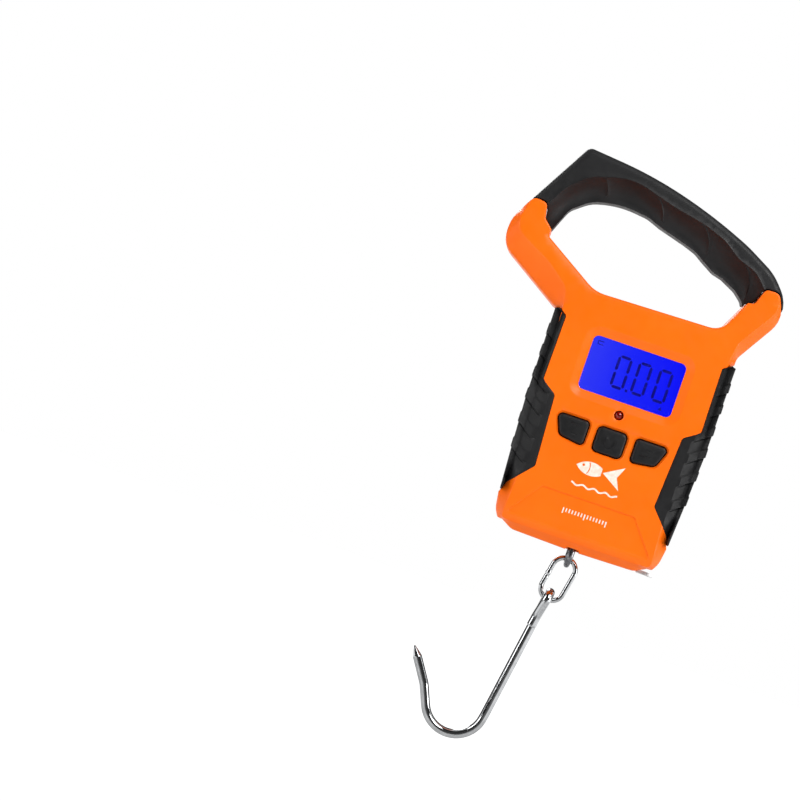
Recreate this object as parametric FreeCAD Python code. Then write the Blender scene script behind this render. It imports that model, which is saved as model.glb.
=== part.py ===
"""Digital hanging fish scale with a side-offset D handle, a retractable tape and a hook.

Frame, in millimetres: +Z is up as the scale hangs from the hand, the display faces -Y,
and +X is to the right of someone reading it.  The origin is on the load line, in the
middle of the handle's top bar.  The two shells meet on the plane Y = 0.
"""
import FreeCAD, Part
import math
import os

V = FreeCAD.Vector

# ---- driving dimensions (mm) -------------------------------------------------------
HALF_DEPTH = 14.0            # housing, from the parting plane to its front or back face
GRIP_HALF_DEPTH = 12.0       # rubber handle grip
EDGE_CHAMFER = 3.5           # outer edge of the housing
HOLE_CHAMFER = 2.5           # edge of the handle opening
WALL = 2.4                   # front and back walls of the shells
SIDE_WALL = 3.4              # side walls, before the side grips are let in
GRIP_SKIN = 1.3              # depth that the side grips are let into the shells

WINDOW = (-19.8, 19.8, -79.5, -56.7)      # display window: x low, x high, z low, z high
WINDOW_CORNER_R = 2.3
BEZEL_MARGIN = 3.6           # width of the sloped surround of the window
BEZEL_DEPTH = 1.2
LENS_FLANGE = 2.2            # how far the lens runs behind the wall
LENS_BACK = -10.5
LCD_BACK = -8.7
LIGHT_BACK = -6.0
LCD_MARGIN = 1.4             # how far the glass reaches past the window
LIGHT_MARGIN = 1.0
HOLDER_MARGIN = 3.2
STRIP_Z = (-80.6, -78.4)     # slot for the elastomer strip under the glass
STRIP_HALF_LENGTH = 19.0
STRIP_FIT = 0.2
BOARD_FRONT = -4.6
BOARD_BACK = -3.0
BOARD = (-28.4, 28.4, -103.0, -54.8)
BOARD_HOLES = [(-26.0, -57.4), (26.0, -57.4), (-26.0, -100.6), (26.0, -100.6)]
BOARD_HOLE_R = 1.0
BOARD_SCREW_R = 0.8
BOARD_SCREW_HEAD_R = 1.8
CHIP = (-6.0, 6.0, -60.0, -54.6)
BUZZER_PLACE = (-18.0, -97.0)
BUZZER_R = 4.5

LED_PLACE = (0.0, -85.0)
LED_R = 1.75
LED_FLANGE_R = 2.1
LED_BACK = -9.6
BUTTON_PROUD = 0.7
BUTTON_GAP = 0.45            # gap between a button and its well
BUTTON_TRAVEL = 0.8
BUTTON_EDGE_R = 0.5
BUTTON_FLANGE = 0.9          # how far a button's flange runs behind the wall
BUTTON_STEM_R = 1.6
SWITCH_HEIGHT = 3.2
SWITCH_HALF = 3.0
SWITCH_PLUNGER_R = 1.7
SWITCH_PLACES = [(-16.5, -96.2), (0.0, -96.6), (16.5, -96.2)]

SCREW_R = 1.3
SCREW_HEAD_R = 2.7
SCREW_SEAT = 8.0             # Y of the seat under each housing screw's head
CROSS_HALF = 1.6             # arms of the screws' cross recess
CROSS_HALF_WIDTH = 0.35
BODY_SCREWS = [(-29.5, -51.6), (29.5, -51.6), (-19.0, -134.0), (19.0, -134.0)]
ARM_SCREWS = [(-58.6, -22.5), (42.6, -25.2)]

BATTERY_R = 5.25             # AAA cell
BATTERY_LENGTH = 44.5
POLE_R = 1.9
POLE_HEIGHT = 1.2
BATTERY_Y = 6.6
BATTERY_Z = [-70.4, -81.6]
BAY = (-25.2, 25.2, -88.6, -63.4)         # inside of the battery bay
BAY_WALL = 1.2
BAY_FLOOR = 1.0              # Y of the floor that the cells lie on
COVER_THICK = 1.8
COVER = (-26.6, 26.6, -90.0, -61.2)       # the last value is the hinge line
COVER_GAP = 0.4
HINGE_Y = 12.85
HINGE_BARREL_R = 1.1
HINGE_PIN_R = 0.5
BARREL_HALF = 20.0
PIN_HALF = 25.0
PLATE_Y = (3.0, 10.4)        # contact plates at the ends of the battery bay
PLATE_HALF_HEIGHT = 3.6

CELL_HALF_WIDTH = 9.0        # load cell, an S-shaped flat beam
CELL_HALF_THICK = 2.5
CELL_TOP = -96.0
CELL_BOTTOM = -134.0
CELL_EYE = (0.0, -130.5)
CELL_EYE_R = 1.7
CELL_SLITS = (-111.0, -121.0)             # middle heights of the two slits that make the S
CELL_SLIT_HALF = 0.6
CELL_WEB = 4.0               # width left beside each slit
CELL_PORT_R = 2.6            # the two bores that leave thin webs under the gauges
CELL_SCREWS = [(-5.0, -104.0), (5.0, -104.0)]
CELL_SCREW_R = 1.5
GAUGE_THICK = 0.25
BRACKET = (-20.5, 20.5, -107.0, -96.0)
BRACKET_THICK = 2.0
BRACKET_SCREWS = [(-16.0, -100.0), (16.0, -100.0)]
LOAD_SLOT_HALF_WIDTH = 3.2   # slot in the bottom that the load loop comes out of
LOAD_SLOT_Y = (-9.6, 6.4)    # it shows in the front bevel as a small notch
SLOT_Z = (-146.0, -137.0)    # both slots reach from below the bottom to above its wall

LOOP_R = 1.3                 # wire radius of the load loop
LOOP_HALF = 4.4              # half distance between its legs, along Y
LOOP_TOP_BEND = 1.9
LOOP_BOTTOM = -149.9         # centre line of the wire at the bottom of the loop
LINK_R = 1.05                # wire radius of the chain link
LINK_BEND = 4.85             # centre-line radius of its two ends
LINK_LENGTH = 18.8           # centre line, top to bottom
LINK_TILT = 11.0             # degrees, its lower end towards -X
HOOK_R = 1.95                # wire radius of the hook
HOOK_TILT = 10.2             # degrees, the shank's lower end towards -X
HOOK_BEND = 12.7             # centre-line radius of the bend
HOOK_BEND_CENTRE = (-24.4, -219.1)
HOOK_RISE = 22.8             # degrees, the rising side's upper end towards -X
HOOK_RISE_LENGTH = 9.0       # of its lower run, before it flares
HOOK_EYE_BEND = 3.6
HOOK_NECK = 7.5              # from the eye's centre to the place where the two runs meet
HOOK_TAIL = 5.0              # of the short run, below the neck
HOOK_TIP_R = 0.35
HOOK_POINT = (-48.4, -202.1)
HOOK_POINT_LENGTH = 4.6
REST_GAP = 0.1               # slack between parts that hang in one another

TAPE_CENTRE = (20.6, -118.0)
TAPE_CASE_R = 10.6
TAPE_CASE_WALL = 1.0
TAPE_CASE_Y = (-6.0, 7.0)
TAPE_RING_R = (5.8, 7.0)     # ring on each shell that locates the case
TAPE_AXLE_R = 1.5
SPOOL_HUB_R = 4.2
SPOOL_RIM_R = 8.6
SPOOL_HALF_WIDTH = 3.8
SPOOL_RIM_THICK = 0.55
COIL_R = 7.0
TAPE_X = 28.0                # the blade leaves the coil tangentially here
TAPE_THICK = 0.3
TAPE_HALF_WIDTH = 2.9
TAPE_TRAVEL = 35.0
TAPE_END = -143.0            # top of the end tab
TAPE_SLOT_X = (TAPE_X - 0.8, TAPE_X + 1.5)
TAB_THICK = 0.6
TAB_X = (TAPE_X - 0.2, TAPE_X + 6.6)
TAB_HALF_WIDTH = 3.6
TAB_CORNER_R = 2.0
TAB_LEG = 6.0
RIVET_R = 0.7
RIVET_HEIGHT = 0.3
RIVET_Y = (-1.5, 1.5)
RIVET_RISE = 4.0             # of the rivets above the tab's foot


# ---- outlines: corners (x, z, rounding radius) in the front view -------------------
def silhouette(apex_radius):
    """Outer outline of the whole scale above the hook, clockwise from the grip's apex."""
    return [
        (-46.65, 15.25, apex_radius), (-16.8, 12.28, 175), (10.0, 4.65, 210),
        (27.4, -2.4, 60), (41.3, -9.9, 24), (49.4, -19.2, 14), (49.4, -29.1, 12),
        (38.3, -47.6, 4), (38.6, -53.0, 4), (38.6, -88.0, 60), (36.2, -130.5, 30),
        (34.4, -141.0, 5), (24.0, -144.0, 16), (-24.0, -144.0, 16), (-34.4, -141.0, 5),
        (-36.2, -130.5, 30), (-38.6, -88.0, 60), (-39.2, -51.2, 4), (-67.9, -33.2, 10),
        (-67.9, -22.5, 14),
    ]


OPENING = [
    (-50.9, -24.6, 3), (-48.6, -11.0, 9), (-37.0, -4.0, 24), (-20.0, -2.2, 30),
    (-2.0, -9.2, 30), (9.0, -11.6, 16), (19.0, -18.0, 14), (30.0, -21.6, 8),
    (33.9, -27.4, 3.5), (27.6, -38.5, 7), (-25.5, -40.2, 14),
]

BODY = [
    (-38.6, -43.6, 8), (38.6, -43.6, 8), (38.6, -88.0, 60), (36.2, -130.5, 30),
    (34.4, -141.0, 7.5), (24.0, -144.0, 16), (-24.0, -144.0, 16), (-34.4, -141.0, 7.5),
    (-36.2, -130.5, 30), (-38.6, -88.0, 60),
]

GRIP_REGION = [
    (-80.0, -17.0, 0), (-64.8, -16.8, 1), (-61.0, -11.6, 3), (-55.4, -12.2, 2),
    (-54.2, -18.3, 2), (-48.0, -23.6, 1), (-44.0, -28.0, 0), (30.0, -29.5, 0),
    (34.6, -24.4, 1), (37.6, -23.8, 2), (39.9, -16.9, 2), (45.8, -16.9, 2),
    (49.6, -24.8, 1), (60.0, -26.0, 0), (60.0, 30.0, 0), (-80.0, 30.0, 0),
]

CORE = [
    (-61.0, -21.0, 2), (-44.3, 9.8, 5), (-15.0, 7.0, 40), (12.0, -0.4, 40),
    (33.0, -9.4, 20), (44.8, -20.0, 8), (44.0, -27.0, 2), (37.2, -27.0, 2),
    (34.6, -17.4, 8), (20.0, -10.6, 20), (0.0, -3.4, 30), (-18.0, 2.8, 24),
    (-36.0, 1.8, 20), (-44.6, -3.6, 8), (-53.6, -21.0, 2),
]

SIDE_GRIP = [
    (46.0, -51.0, 0), (37.0, -51.0, 1), (33.6, -53.2, 1.5), (34.1, -81.0, 2),
    (27.4, -85.6, 2), (25.6, -115.2, 1.5), (36.3, -130.4, 0.5), (46.0, -130.6, 0),
]

MODE_BUTTON = [
    (-23.6, -91.5, 1.6), (-10.2, -91.5, 1.5), (-10.2, -101.4, 1.5), (-20.4, -100.0, 2.4),
]
POWER_BUTTON = [(-6.0, -91.5, 2), (6.0, -91.5, 2), (6.0, -101.8, 2), (-6.0, -101.8, 2)]


def mirrored(corners):
    return [(-x, z, r) for x, z, r in reversed(corners)]


def rectangle(box, radius):
    x0, x1, z0, z1 = box
    return [(x0, z1, radius), (x1, z1, radius), (x1, z0, radius), (x0, z0, radius)]


def grown(corners, distance):
    """The same outline moved outwards by distance, or inwards where it is negative."""
    count = len(corners)
    area = sum(corners[i - 1][0] * corners[i][1] - corners[i][0] * corners[i - 1][1]
               for i in range(count))
    side = 1.0 if area < 0 else -1.0
    result = []
    for i, (x, z, r) in enumerate(corners):
        xa, za, _ = corners[i - 1]
        xb, zb, _ = corners[(i + 1) % count]
        la = math.hypot(x - xa, z - za)
        lb = math.hypot(xb - x, zb - z)
        ax, az = (x - xa) / la, (z - za) / la
        bx, bz = (xb - x) / lb, (zb - z) / lb
        turn = ax * bz - az * bx
        ox, oz = -az * side * distance, ax * side * distance
        px, pz = -bz * side * distance, bx * side * distance
        if abs(turn) < 1e-6:
            result.append((x + ox, z + oz, r))
            continue
        along = ((px - ox) * bz - (pz - oz) * bx) / turn
        convex = turn * side < 0
        radius = r + distance if convex else r - distance
        result.append((x + ox + along * ax, z + oz + along * az, max(radius, 0.0)))
    return result


# ---- construction helpers ------------------------------------------------------------
def rounded_wire(corners, y):
    """Closed wire on the plane at y, straight between tangent arcs at the corners."""
    count = len(corners)
    cuts = []
    for i, (x, z, r) in enumerate(corners):
        p = V(x, y, z)
        a = V(corners[i - 1][0], y, corners[i - 1][1]) - p
        b = V(corners[(i + 1) % count][0], y, corners[(i + 1) % count][1]) - p
        half = a.getAngle(b) / 2
        if r <= 0 or half > math.pi / 2 - 1e-4:
            cuts.append((p, None, p))
            continue
        reach = r / math.tan(half)
        a.normalize()
        b.normalize()
        bisector = a + b
        bisector.normalize()
        middle = p + bisector * (r / math.sin(half) - r)
        cuts.append((p + a * reach, middle, p + b * reach))
    edges = []
    for i, (start, middle, end) in enumerate(cuts):
        if middle is not None:
            edges.append(Part.Arc(start, middle, end).toShape())
        following = cuts[(i + 1) % count][0]
        if (following - end).Length > 1e-5:
            edges.append(Part.LineSegment(end, following).toShape())
    return Part.Wire(edges)


def prism(corners, y0, y1):
    return Part.Face(rounded_wire(corners, y0)).extrude(V(0, y1 - y0, 0))


def slab(x0, x1, y0, y1, z0, z1):
    return Part.makeBox(x1 - x0, y1 - y0, z1 - z0, V(x0, y0, z0))


def rod(x, z, radius, y0, y1):
    """Cylinder along Y."""
    return Part.makeCylinder(radius, y1 - y0, V(x, y0, z), V(0, 1, 0))


def edges_at(solid, depth, chosen=None):
    """Edges that lie on the faces at Y = -depth and +depth, optionally filtered."""
    found = []
    for edge in solid.Edges:
        if all(abs(abs(v.Y) - depth) < 1e-4 for v in edge.Vertexes):
            if abs(edge.Vertexes[0].Y - edge.Vertexes[-1].Y) < 1e-4:
                if chosen is None or chosen(edge):
                    found.append(edge)
    return found


def chamfered(corners, depth, size):
    block = prism(corners, -depth, depth)
    return block.makeChamfer(size, edges_at(block, depth))


def wire_rod(path, radius, closed=False):
    """Round wire swept along a path of straight runs and tangent arcs."""
    spine = Part.Wire(path)
    start = path[0].valueAt(path[0].FirstParameter)
    direction = path[0].tangentAt(path[0].FirstParameter)
    section = Part.Wire(Part.makeCircle(radius, start, direction))
    return spine.makePipeShell([section], True, not closed)


def line(a, b):
    return Part.LineSegment(a, b).toShape()


def arc(a, b, c):
    return Part.Arc(a, b, c).toShape()


def save(name, *solids):
    """Write one node; several solids in it stay separate."""
    shape = solids[0] if len(solids) == 1 else Part.makeCompound(list(solids))
    for solid in shape.Solids:
        if not solid.isValid() or solid.Volume <= 0:
            raise RuntimeError(name + " has a bad solid")
    shape.exportStep("parts/" + name + ".step")
    print(name, len(shape.Solids), round(sum(s.Volume for s in shape.Solids), 1))


# ---- housing ---------------------------------------------------------------------------
def handle_loop(apex_radius, depth, outer_chamfer, inner_chamfer):
    block = chamfered(silhouette(apex_radius), depth, outer_chamfer)
    hole = prism(OPENING, -depth - 1, depth + 1)
    block = block.cut(hole)
    rims = [rounded_wire(OPENING, -depth), rounded_wire(OPENING, depth)]

    def on_rim(edge):
        middle = edge.valueAt((edge.FirstParameter + edge.LastParameter) / 2)
        return min(rim.distToShape(Part.Vertex(middle))[0] for rim in rims) < 0.01

    return block.makeChamfer(inner_chamfer, edges_at(block, depth, on_rim))


def button_outlines():
    return [MODE_BUTTON, POWER_BUTTON, mirrored(MODE_BUTTON)]


def bezel_recess():
    """Sloped surround of the display window, shallow in the front face."""
    window = rectangle(WINDOW, WINDOW_CORNER_R)
    outer = rounded_wire(grown(window, BEZEL_MARGIN), -HALF_DEPTH - 0.01)
    inner = rounded_wire(grown(window, 0.6), -HALF_DEPTH + BEZEL_DEPTH)
    return Part.makeLoft([outer, inner], True, True)


def load_slot():
    return slab(-LOAD_SLOT_HALF_WIDTH, LOAD_SLOT_HALF_WIDTH,
                LOAD_SLOT_Y[0], LOAD_SLOT_Y[1], SLOT_Z[0], SLOT_Z[1])


def tape_slot():
    return slab(TAPE_SLOT_X[0], TAPE_SLOT_X[1], -SPOOL_HALF_WIDTH, SPOOL_HALF_WIDTH,
                SLOT_Z[0], SLOT_Z[1])


def locating_ring(y_free, y_wall):
    """Ring that stands on a shell's wall and reaches the tape case."""
    x, z = TAPE_CENTRE
    inner, outer = TAPE_RING_R
    low, high = sorted((y_free, y_wall))
    return rod(x, z, outer, low, high).cut(rod(x, z, inner, low - 1, high + 1))


def shell_half(housing, cavity, recess, front):
    y0, y1 = (-20, 0) if front else (0, 20)
    half = housing.common(slab(-80, 60, y0, y1, -160, 30))
    half = half.cut(cavity).cut(recess)
    core = prism(CORE, -5.0, 0) if front else prism(CORE, 0, 5.0)
    return half.fuse(core)


def front_shell(housing, cavity, recess):
    shell = shell_half(housing, cavity, recess, True)
    inner = -HALF_DEPTH + WALL
    bosses = [rod(x, z, 3.0, inner - 0.5, 0) for x, z in BODY_SCREWS]
    bosses += [rod(x, z, 2.2, inner - 0.5, BOARD_FRONT) for x, z in BOARD_HOLES]
    ring = locating_ring(TAPE_CASE_Y[0], inner - 0.5)
    shell = shell.fuse(bosses + [ring])
    cuts = [bezel_recess(), prism(rectangle(WINDOW, WINDOW_CORNER_R), -20, inner + 0.5)]
    cuts += [prism(grown(c, BUTTON_GAP), -20, inner + 0.5) for c in button_outlines()]
    cuts.append(rod(LED_PLACE[0], LED_PLACE[1], LED_R + 0.1, -20, inner + 0.5))
    cuts += [rod(x, z, SCREW_R, -9.0, 0.1) for x, z in BODY_SCREWS + ARM_SCREWS]
    cuts += [rod(x, z, BOARD_SCREW_R, -9.5, BOARD_FRONT + 0.1) for x, z in BOARD_HOLES]
    cuts += [load_slot(), tape_slot()]
    for cut in cuts:
        shell = shell.cut(cut)
    return shell.removeSplitter()


def rear_shell(housing, cavity, recess):
    shell = shell_half(housing, cavity, recess, False)
    inner = HALF_DEPTH - WALL
    x0, x1, z0, z1 = BAY
    bay = slab(x0 - BAY_WALL, x1 + BAY_WALL, 0, inner + 0.5, z0 - BAY_WALL, z1 + BAY_WALL)
    bay = bay.fuse(slab(x0 - 3.2, x1 + 3.2, inner - 1.0, inner + 0.5, z0 - 3.0, -58.4))
    bosses = [rod(x, z, 3.6, 0, inner + 0.5) for x, z in BODY_SCREWS]
    post_start = CELL_HALF_THICK + BRACKET_THICK
    posts = [rod(x, z, 3.0, post_start, inner + 0.5) for x, z in BRACKET_SCREWS]
    ring = locating_ring(TAPE_CASE_Y[1] + 0.05, inner + 0.5)
    shell = shell.fuse([bay] + bosses + posts + [ring])
    hinge_z = COVER[3]
    hinge_room = HINGE_BARREL_R + COVER_GAP
    cover_bed = HALF_DEPTH - COVER_THICK - 0.1
    cuts = [slab(x0, x1, BAY_FLOOR, 20, z0, z1)]
    cuts.append(slab(COVER[0] - COVER_GAP, COVER[1] + COVER_GAP, cover_bed, 20,
                     COVER[2] - COVER_GAP, hinge_z - 2.6))
    cuts.append(slab(-BARREL_HALF - COVER_GAP, BARREL_HALF + COVER_GAP, HINGE_Y - hinge_room, 20,
                     hinge_z - 2.7, hinge_z + hinge_room))
    cuts.append(Part.makeCylinder(HINGE_PIN_R, 50, V(-25, HINGE_Y, hinge_z), V(1, 0, 0)))
    cuts.append(slab(-7, 7, HALF_DEPTH - 1.6, 20, COVER[2] - 5.0, COVER[2] - COVER_GAP + 0.1))
    cuts += [rod(x, z, SCREW_R + 0.2, -0.1, SCREW_SEAT + 0.1) for x, z in BODY_SCREWS + ARM_SCREWS]
    cuts += [rod(x, z, SCREW_HEAD_R + 0.3, SCREW_SEAT, 20) for x, z in BODY_SCREWS + ARM_SCREWS]
    cuts += [rod(x, z, 1.0, post_start - 0.1, 10.5) for x, z in BRACKET_SCREWS]
    cuts += [load_slot(), tape_slot()]
    for cut in cuts:
        shell = shell.cut(cut)
    return shell.removeSplitter()


def handle_grip():
    loop = handle_loop(3.2, GRIP_HALF_DEPTH, 2.6, HOLE_CHAMFER)
    sleeve = loop.common(prism(GRIP_REGION, -20, 20))
    return sleeve.cut(prism(CORE, -5.0, 5.0))


def side_grip(housing, inset, corners):
    return housing.common(prism(corners, -20, 20)).cut(inset)


def make_housing():
    housing = handle_loop(5.0, HALF_DEPTH, EDGE_CHAMFER, HOLE_CHAMFER)
    housing = housing.cut(prism(GRIP_REGION, -20, 20))
    inset = chamfered(grown(BODY, -GRIP_SKIN), HALF_DEPTH - GRIP_SKIN, EDGE_CHAMFER)
    cavity = chamfered(grown(BODY, -SIDE_WALL), HALF_DEPTH - WALL, EDGE_CHAMFER - 1.0)
    right = side_grip(housing, inset, SIDE_GRIP)
    left = side_grip(housing, inset, mirrored(SIDE_GRIP))
    recess = right.fuse(left)
    save("front_shell", front_shell(housing, cavity, recess))
    save("rear_shell", rear_shell(housing, cavity, recess))
    save("handle_grip", handle_grip())
    save("left_side_grip", left)
    save("right_side_grip", right)


def housing_screw(x, z):
    head = rod(x, z, SCREW_HEAD_R, SCREW_SEAT, SCREW_SEAT + 2.0)
    shank = rod(x, z, SCREW_R, -8.5, SCREW_SEAT)
    floor = SCREW_SEAT + 1.0
    cross = slab(x - CROSS_HALF, x + CROSS_HALF, floor, 20, z - CROSS_HALF_WIDTH, z + CROSS_HALF_WIDTH)
    arm = slab(x - CROSS_HALF_WIDTH, x + CROSS_HALF_WIDTH, floor, 20, z - CROSS_HALF, z + CROSS_HALF)
    cross = cross.fuse(arm)
    return head.fuse(shank).cut(cross)


# ---- display, board and controls --------------------------------------------------------
def make_display():
    window = rectangle(WINDOW, WINDOW_CORNER_R)
    inner = -HALF_DEPTH + WALL
    lens = prism(window, -HALF_DEPTH + BEZEL_DEPTH, inner)
    lens = lens.fuse(prism(grown(window, LENS_FLANGE), inner, LENS_BACK))
    save("display_lens", lens.removeSplitter())
    sharp = rectangle(WINDOW, 0.3)
    glass = grown(sharp, LCD_MARGIN)
    save("lcd_glass", prism(glass, LENS_BACK, LCD_BACK))
    strip_low, strip_high = STRIP_Z
    light = [(x, max(z, strip_high + 0.4), r) for x, z, r in grown(sharp, LIGHT_MARGIN)]
    save("backlight_panel", prism(light, LCD_BACK, LIGHT_BACK))
    holder = prism(grown(rectangle(WINDOW, 1.0), HOLDER_MARGIN), LENS_BACK, BOARD_FRONT)
    holder = holder.cut(prism(glass, LENS_BACK - 1, LCD_BACK))
    holder = holder.cut(prism(light, LCD_BACK - 1, BOARD_FRONT + 1))
    half = STRIP_HALF_LENGTH
    holder = holder.cut(slab(-half, half, LCD_BACK, BOARD_FRONT, strip_low, strip_high))
    save("lcd_holder", holder)
    half -= STRIP_FIT
    save("zebra_strip", slab(-half, half, LCD_BACK, BOARD_FRONT,
                             strip_low + STRIP_FIT, strip_high - STRIP_FIT))


def led_indicator():
    x, z = LED_PLACE
    tip = -HALF_DEPTH + 0.4
    body = rod(x, z, LED_R, tip + 1.0, LED_BACK)
    dome = Part.makeSphere(LED_R, V(x, tip + LED_R, z))
    dome = dome.common(slab(x - LED_R, x + LED_R, tip, tip + 1.2, z - LED_R, z + LED_R))
    flange = rod(x, z, LED_FLANGE_R, LED_BACK - 0.8, LED_BACK)
    half = 0.25
    legs = [slab(x + s - half, x + s + half, LED_BACK - 0.1, BOARD_FRONT, z - half, z + half)
            for s in (-1, 1)]
    return body.fuse([dome, flange] + legs).removeSplitter()


def board_screw(x, z):
    shank = rod(x, z, BOARD_SCREW_R, -8.8, BOARD_BACK)
    return shank.fuse(rod(x, z, BOARD_SCREW_HEAD_R, BOARD_BACK, BOARD_BACK + 1.2))


def tact_switch(x, z):
    top = BOARD_FRONT - SWITCH_HEIGHT
    shoulder = top + 1.0
    half = SWITCH_HALF
    base = slab(x - half, x + half, shoulder, BOARD_FRONT, z - half, z + half)
    return base.fuse(rod(x, z, SWITCH_PLUNGER_R, top, shoulder))


def make_board():
    board = prism(rectangle(BOARD, 2.0), BOARD_FRONT, BOARD_BACK)
    for x, z in BOARD_HOLES:
        board = board.cut(rod(x, z, BOARD_HOLE_R, BOARD_FRONT - 1, BOARD_BACK + 1))
    save("main_board", board)
    save("board_screws", *[board_screw(x, z) for x, z in BOARD_HOLES])
    save("tact_switches", *[tact_switch(x, z) for x, z in SWITCH_PLACES])
    x0, x1, z0, z1 = CHIP
    save("controller_chip", slab(x0, x1, BOARD_BACK, BOARD_BACK + 1.6, z0, z1))
    x, z = BUZZER_PLACE
    save("buzzer", rod(x, z, BUZZER_R, BOARD_BACK, BOARD_BACK + 4.0))


def button(corners, stem_place):
    """Cap, retaining flange behind the wall, and a stem that reaches the switch."""
    inner = -HALF_DEPTH + WALL
    flange_front = inner + 0.35
    flange_back = flange_front + 0.8
    cap = prism(corners, -HALF_DEPTH - BUTTON_PROUD, flange_front)
    cap = cap.makeFillet(BUTTON_EDGE_R, edges_at(cap, HALF_DEPTH + BUTTON_PROUD))
    flange = prism(grown(corners, BUTTON_FLANGE), flange_front, flange_back)
    stem_end = BOARD_FRONT - SWITCH_HEIGHT - BUTTON_TRAVEL - 0.4
    stem = rod(stem_place[0], stem_place[1], BUTTON_STEM_R, flange_back, stem_end)
    return cap.fuse([flange, stem]).removeSplitter()


def make_buttons():
    for name, corners, place in zip(("button_mode", "button_power", "button_unit"),
                                    button_outlines(), SWITCH_PLACES):
        save(name, button(corners, place))
    save("led_indicator", led_indicator())


# ---- batteries ----------------------------------------------------------------------------
def battery(z, towards):
    """AAA cell along X; towards is the side of its positive pole."""
    half = BATTERY_LENGTH / 2
    along = V(1, 0, 0)
    can = Part.makeCylinder(BATTERY_R, BATTERY_LENGTH - POLE_HEIGHT, V(-half, BATTERY_Y, z), along)
    pole_length = POLE_HEIGHT + 0.1
    pole = Part.makeCylinder(POLE_R, pole_length, V(half - pole_length, BATTERY_Y, z), along)
    cell = can.fuse(pole)
    if towards < 0:
        cell.rotate(V(0, BATTERY_Y, z), V(0, 0, 1), 180)
    return cell


def battery_spring(z, side):
    """Conical contact spring, as the hollow cone that its turns lie on."""
    length = abs(BAY[0]) - BATTERY_LENGTH / 2 - 0.1
    base = V(side * abs(BAY[0]), BATTERY_Y, z)
    inwards = V(-side, 0, 0)
    outer = Part.makeCone(3.6, 1.8, length, base, inwards)
    inner = Part.makeCone(3.0, 1.2, length, base, inwards)
    return outer.cut(inner)


def make_batteries():
    upper, lower = BATTERY_Z
    save("battery_upper", battery(upper, 1))
    save("battery_lower", battery(lower, -1))
    save("battery_springs", battery_spring(upper, -1), battery_spring(lower, 1))
    half = abs(BAY[0])
    pole_tip = BATTERY_LENGTH / 2
    plates = []
    for z, side in ((upper, 1), (lower, -1)):
        x0, x1 = sorted((side * (pole_tip + 0.05), side * half))
        plates.append(slab(x0, x1, PLATE_Y[0], PLATE_Y[1],
                           z - PLATE_HALF_HEIGHT, z + PLATE_HALF_HEIGHT))
    save("battery_plates", *plates)


def battery_cover():
    x0, x1, z0, hinge_z = COVER
    back = HALF_DEPTH - COVER_THICK
    along = V(1, 0, 0)
    plate = prism(rectangle((x0, x1, z0, hinge_z - 3.0), 1.5), back, HALF_DEPTH)
    neck = slab(-BARREL_HALF, BARREL_HALF, back, HALF_DEPTH, hinge_z - 5.0, hinge_z)
    barrel = Part.makeCylinder(HINGE_BARREL_R, 2 * BARREL_HALF,
                               V(-BARREL_HALF, HINGE_Y, hinge_z), along)
    bore = Part.makeCylinder(HINGE_PIN_R + 0.06, 2 * PIN_HALF, V(-PIN_HALF, HINGE_Y, hinge_z), along)
    cover = plate.fuse([neck, barrel]).cut(bore)
    groove_half = 7.0
    for i in range(4):
        z = z0 + 4.0 + 2.0 * i
        groove = slab(-groove_half, groove_half, HALF_DEPTH - 0.5, HALF_DEPTH + 1, z - 0.5, z + 0.5)
        cover = cover.cut(groove)
    return cover.removeSplitter()


def battery_cover_pin():
    return Part.makeCylinder(HINGE_PIN_R, 2 * PIN_HALF, V(-PIN_HALF, HINGE_Y, COVER[3]), V(1, 0, 0))


# ---- load path ------------------------------------------------------------------------------
def load_cell():
    """S-shaped beam: two slits from opposite edges, and two bores between them."""
    w, t = CELL_HALF_WIDTH, CELL_HALF_THICK
    beam = slab(-w, w, -t, t, CELL_BOTTOM, CELL_TOP)
    upper, lower = CELL_SLITS
    web = w - CELL_WEB
    cuts = [slab(-w - 1, web, -t - 1, t + 1, upper - CELL_SLIT_HALF, upper + CELL_SLIT_HALF)]
    cuts.append(slab(-web, w + 1, -t - 1, t + 1, lower - CELL_SLIT_HALF, lower + CELL_SLIT_HALF))
    middle = (upper + lower) / 2
    cuts += [rod(x, middle, CELL_PORT_R, -t - 1, t + 1) for x in (-2.2, 2.2)]
    cuts += [rod(x, z, CELL_SCREW_R + 0.1, -t - 1, t + 1) for x, z in CELL_SCREWS]
    cuts.append(rod(CELL_EYE[0], CELL_EYE[1], CELL_EYE_R, -t - 1, t + 1))
    for cut in cuts:
        beam = beam.cut(cut)
    return beam


def strain_gauge(side):
    """Foil gauge on one edge of the beam."""
    x0, x1 = sorted((side * CELL_HALF_WIDTH, side * (CELL_HALF_WIDTH + GAUGE_THICK)))
    middle = sum(CELL_SLITS) / 2
    return slab(x0, x1, -1.8, 1.8, middle - 3.0, middle + 3.0)


def load_cell_bracket():
    x0, x1, z0, z1 = BRACKET
    back = CELL_HALF_THICK + BRACKET_THICK
    bracket = slab(x0, x1, CELL_HALF_THICK, back, z0, z1)
    for x, z in CELL_SCREWS:
        bracket = bracket.cut(rod(x, z, CELL_SCREW_R + 0.1, 0, back + 1))
    for x, z in BRACKET_SCREWS:
        bracket = bracket.cut(rod(x, z, 1.2, 0, back + 1))
    return bracket


def load_cell_screws():
    """Two through the beam into the bracket, two through the bracket into the rear shell."""
    front, back = CELL_HALF_THICK, CELL_HALF_THICK + BRACKET_THICK
    screws = []
    for x, z in CELL_SCREWS:
        shank = rod(x, z, CELL_SCREW_R, -front, back)
        screws.append(shank.fuse(rod(x, z, 2.6, back, back + 1.8)))
    for x, z in BRACKET_SCREWS:
        shank = rod(x, z, 1.0, front, 10.0)
        screws.append(shank.fuse(rod(x, z, 2.2, front - 1.4, front)))
    return screws


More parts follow.
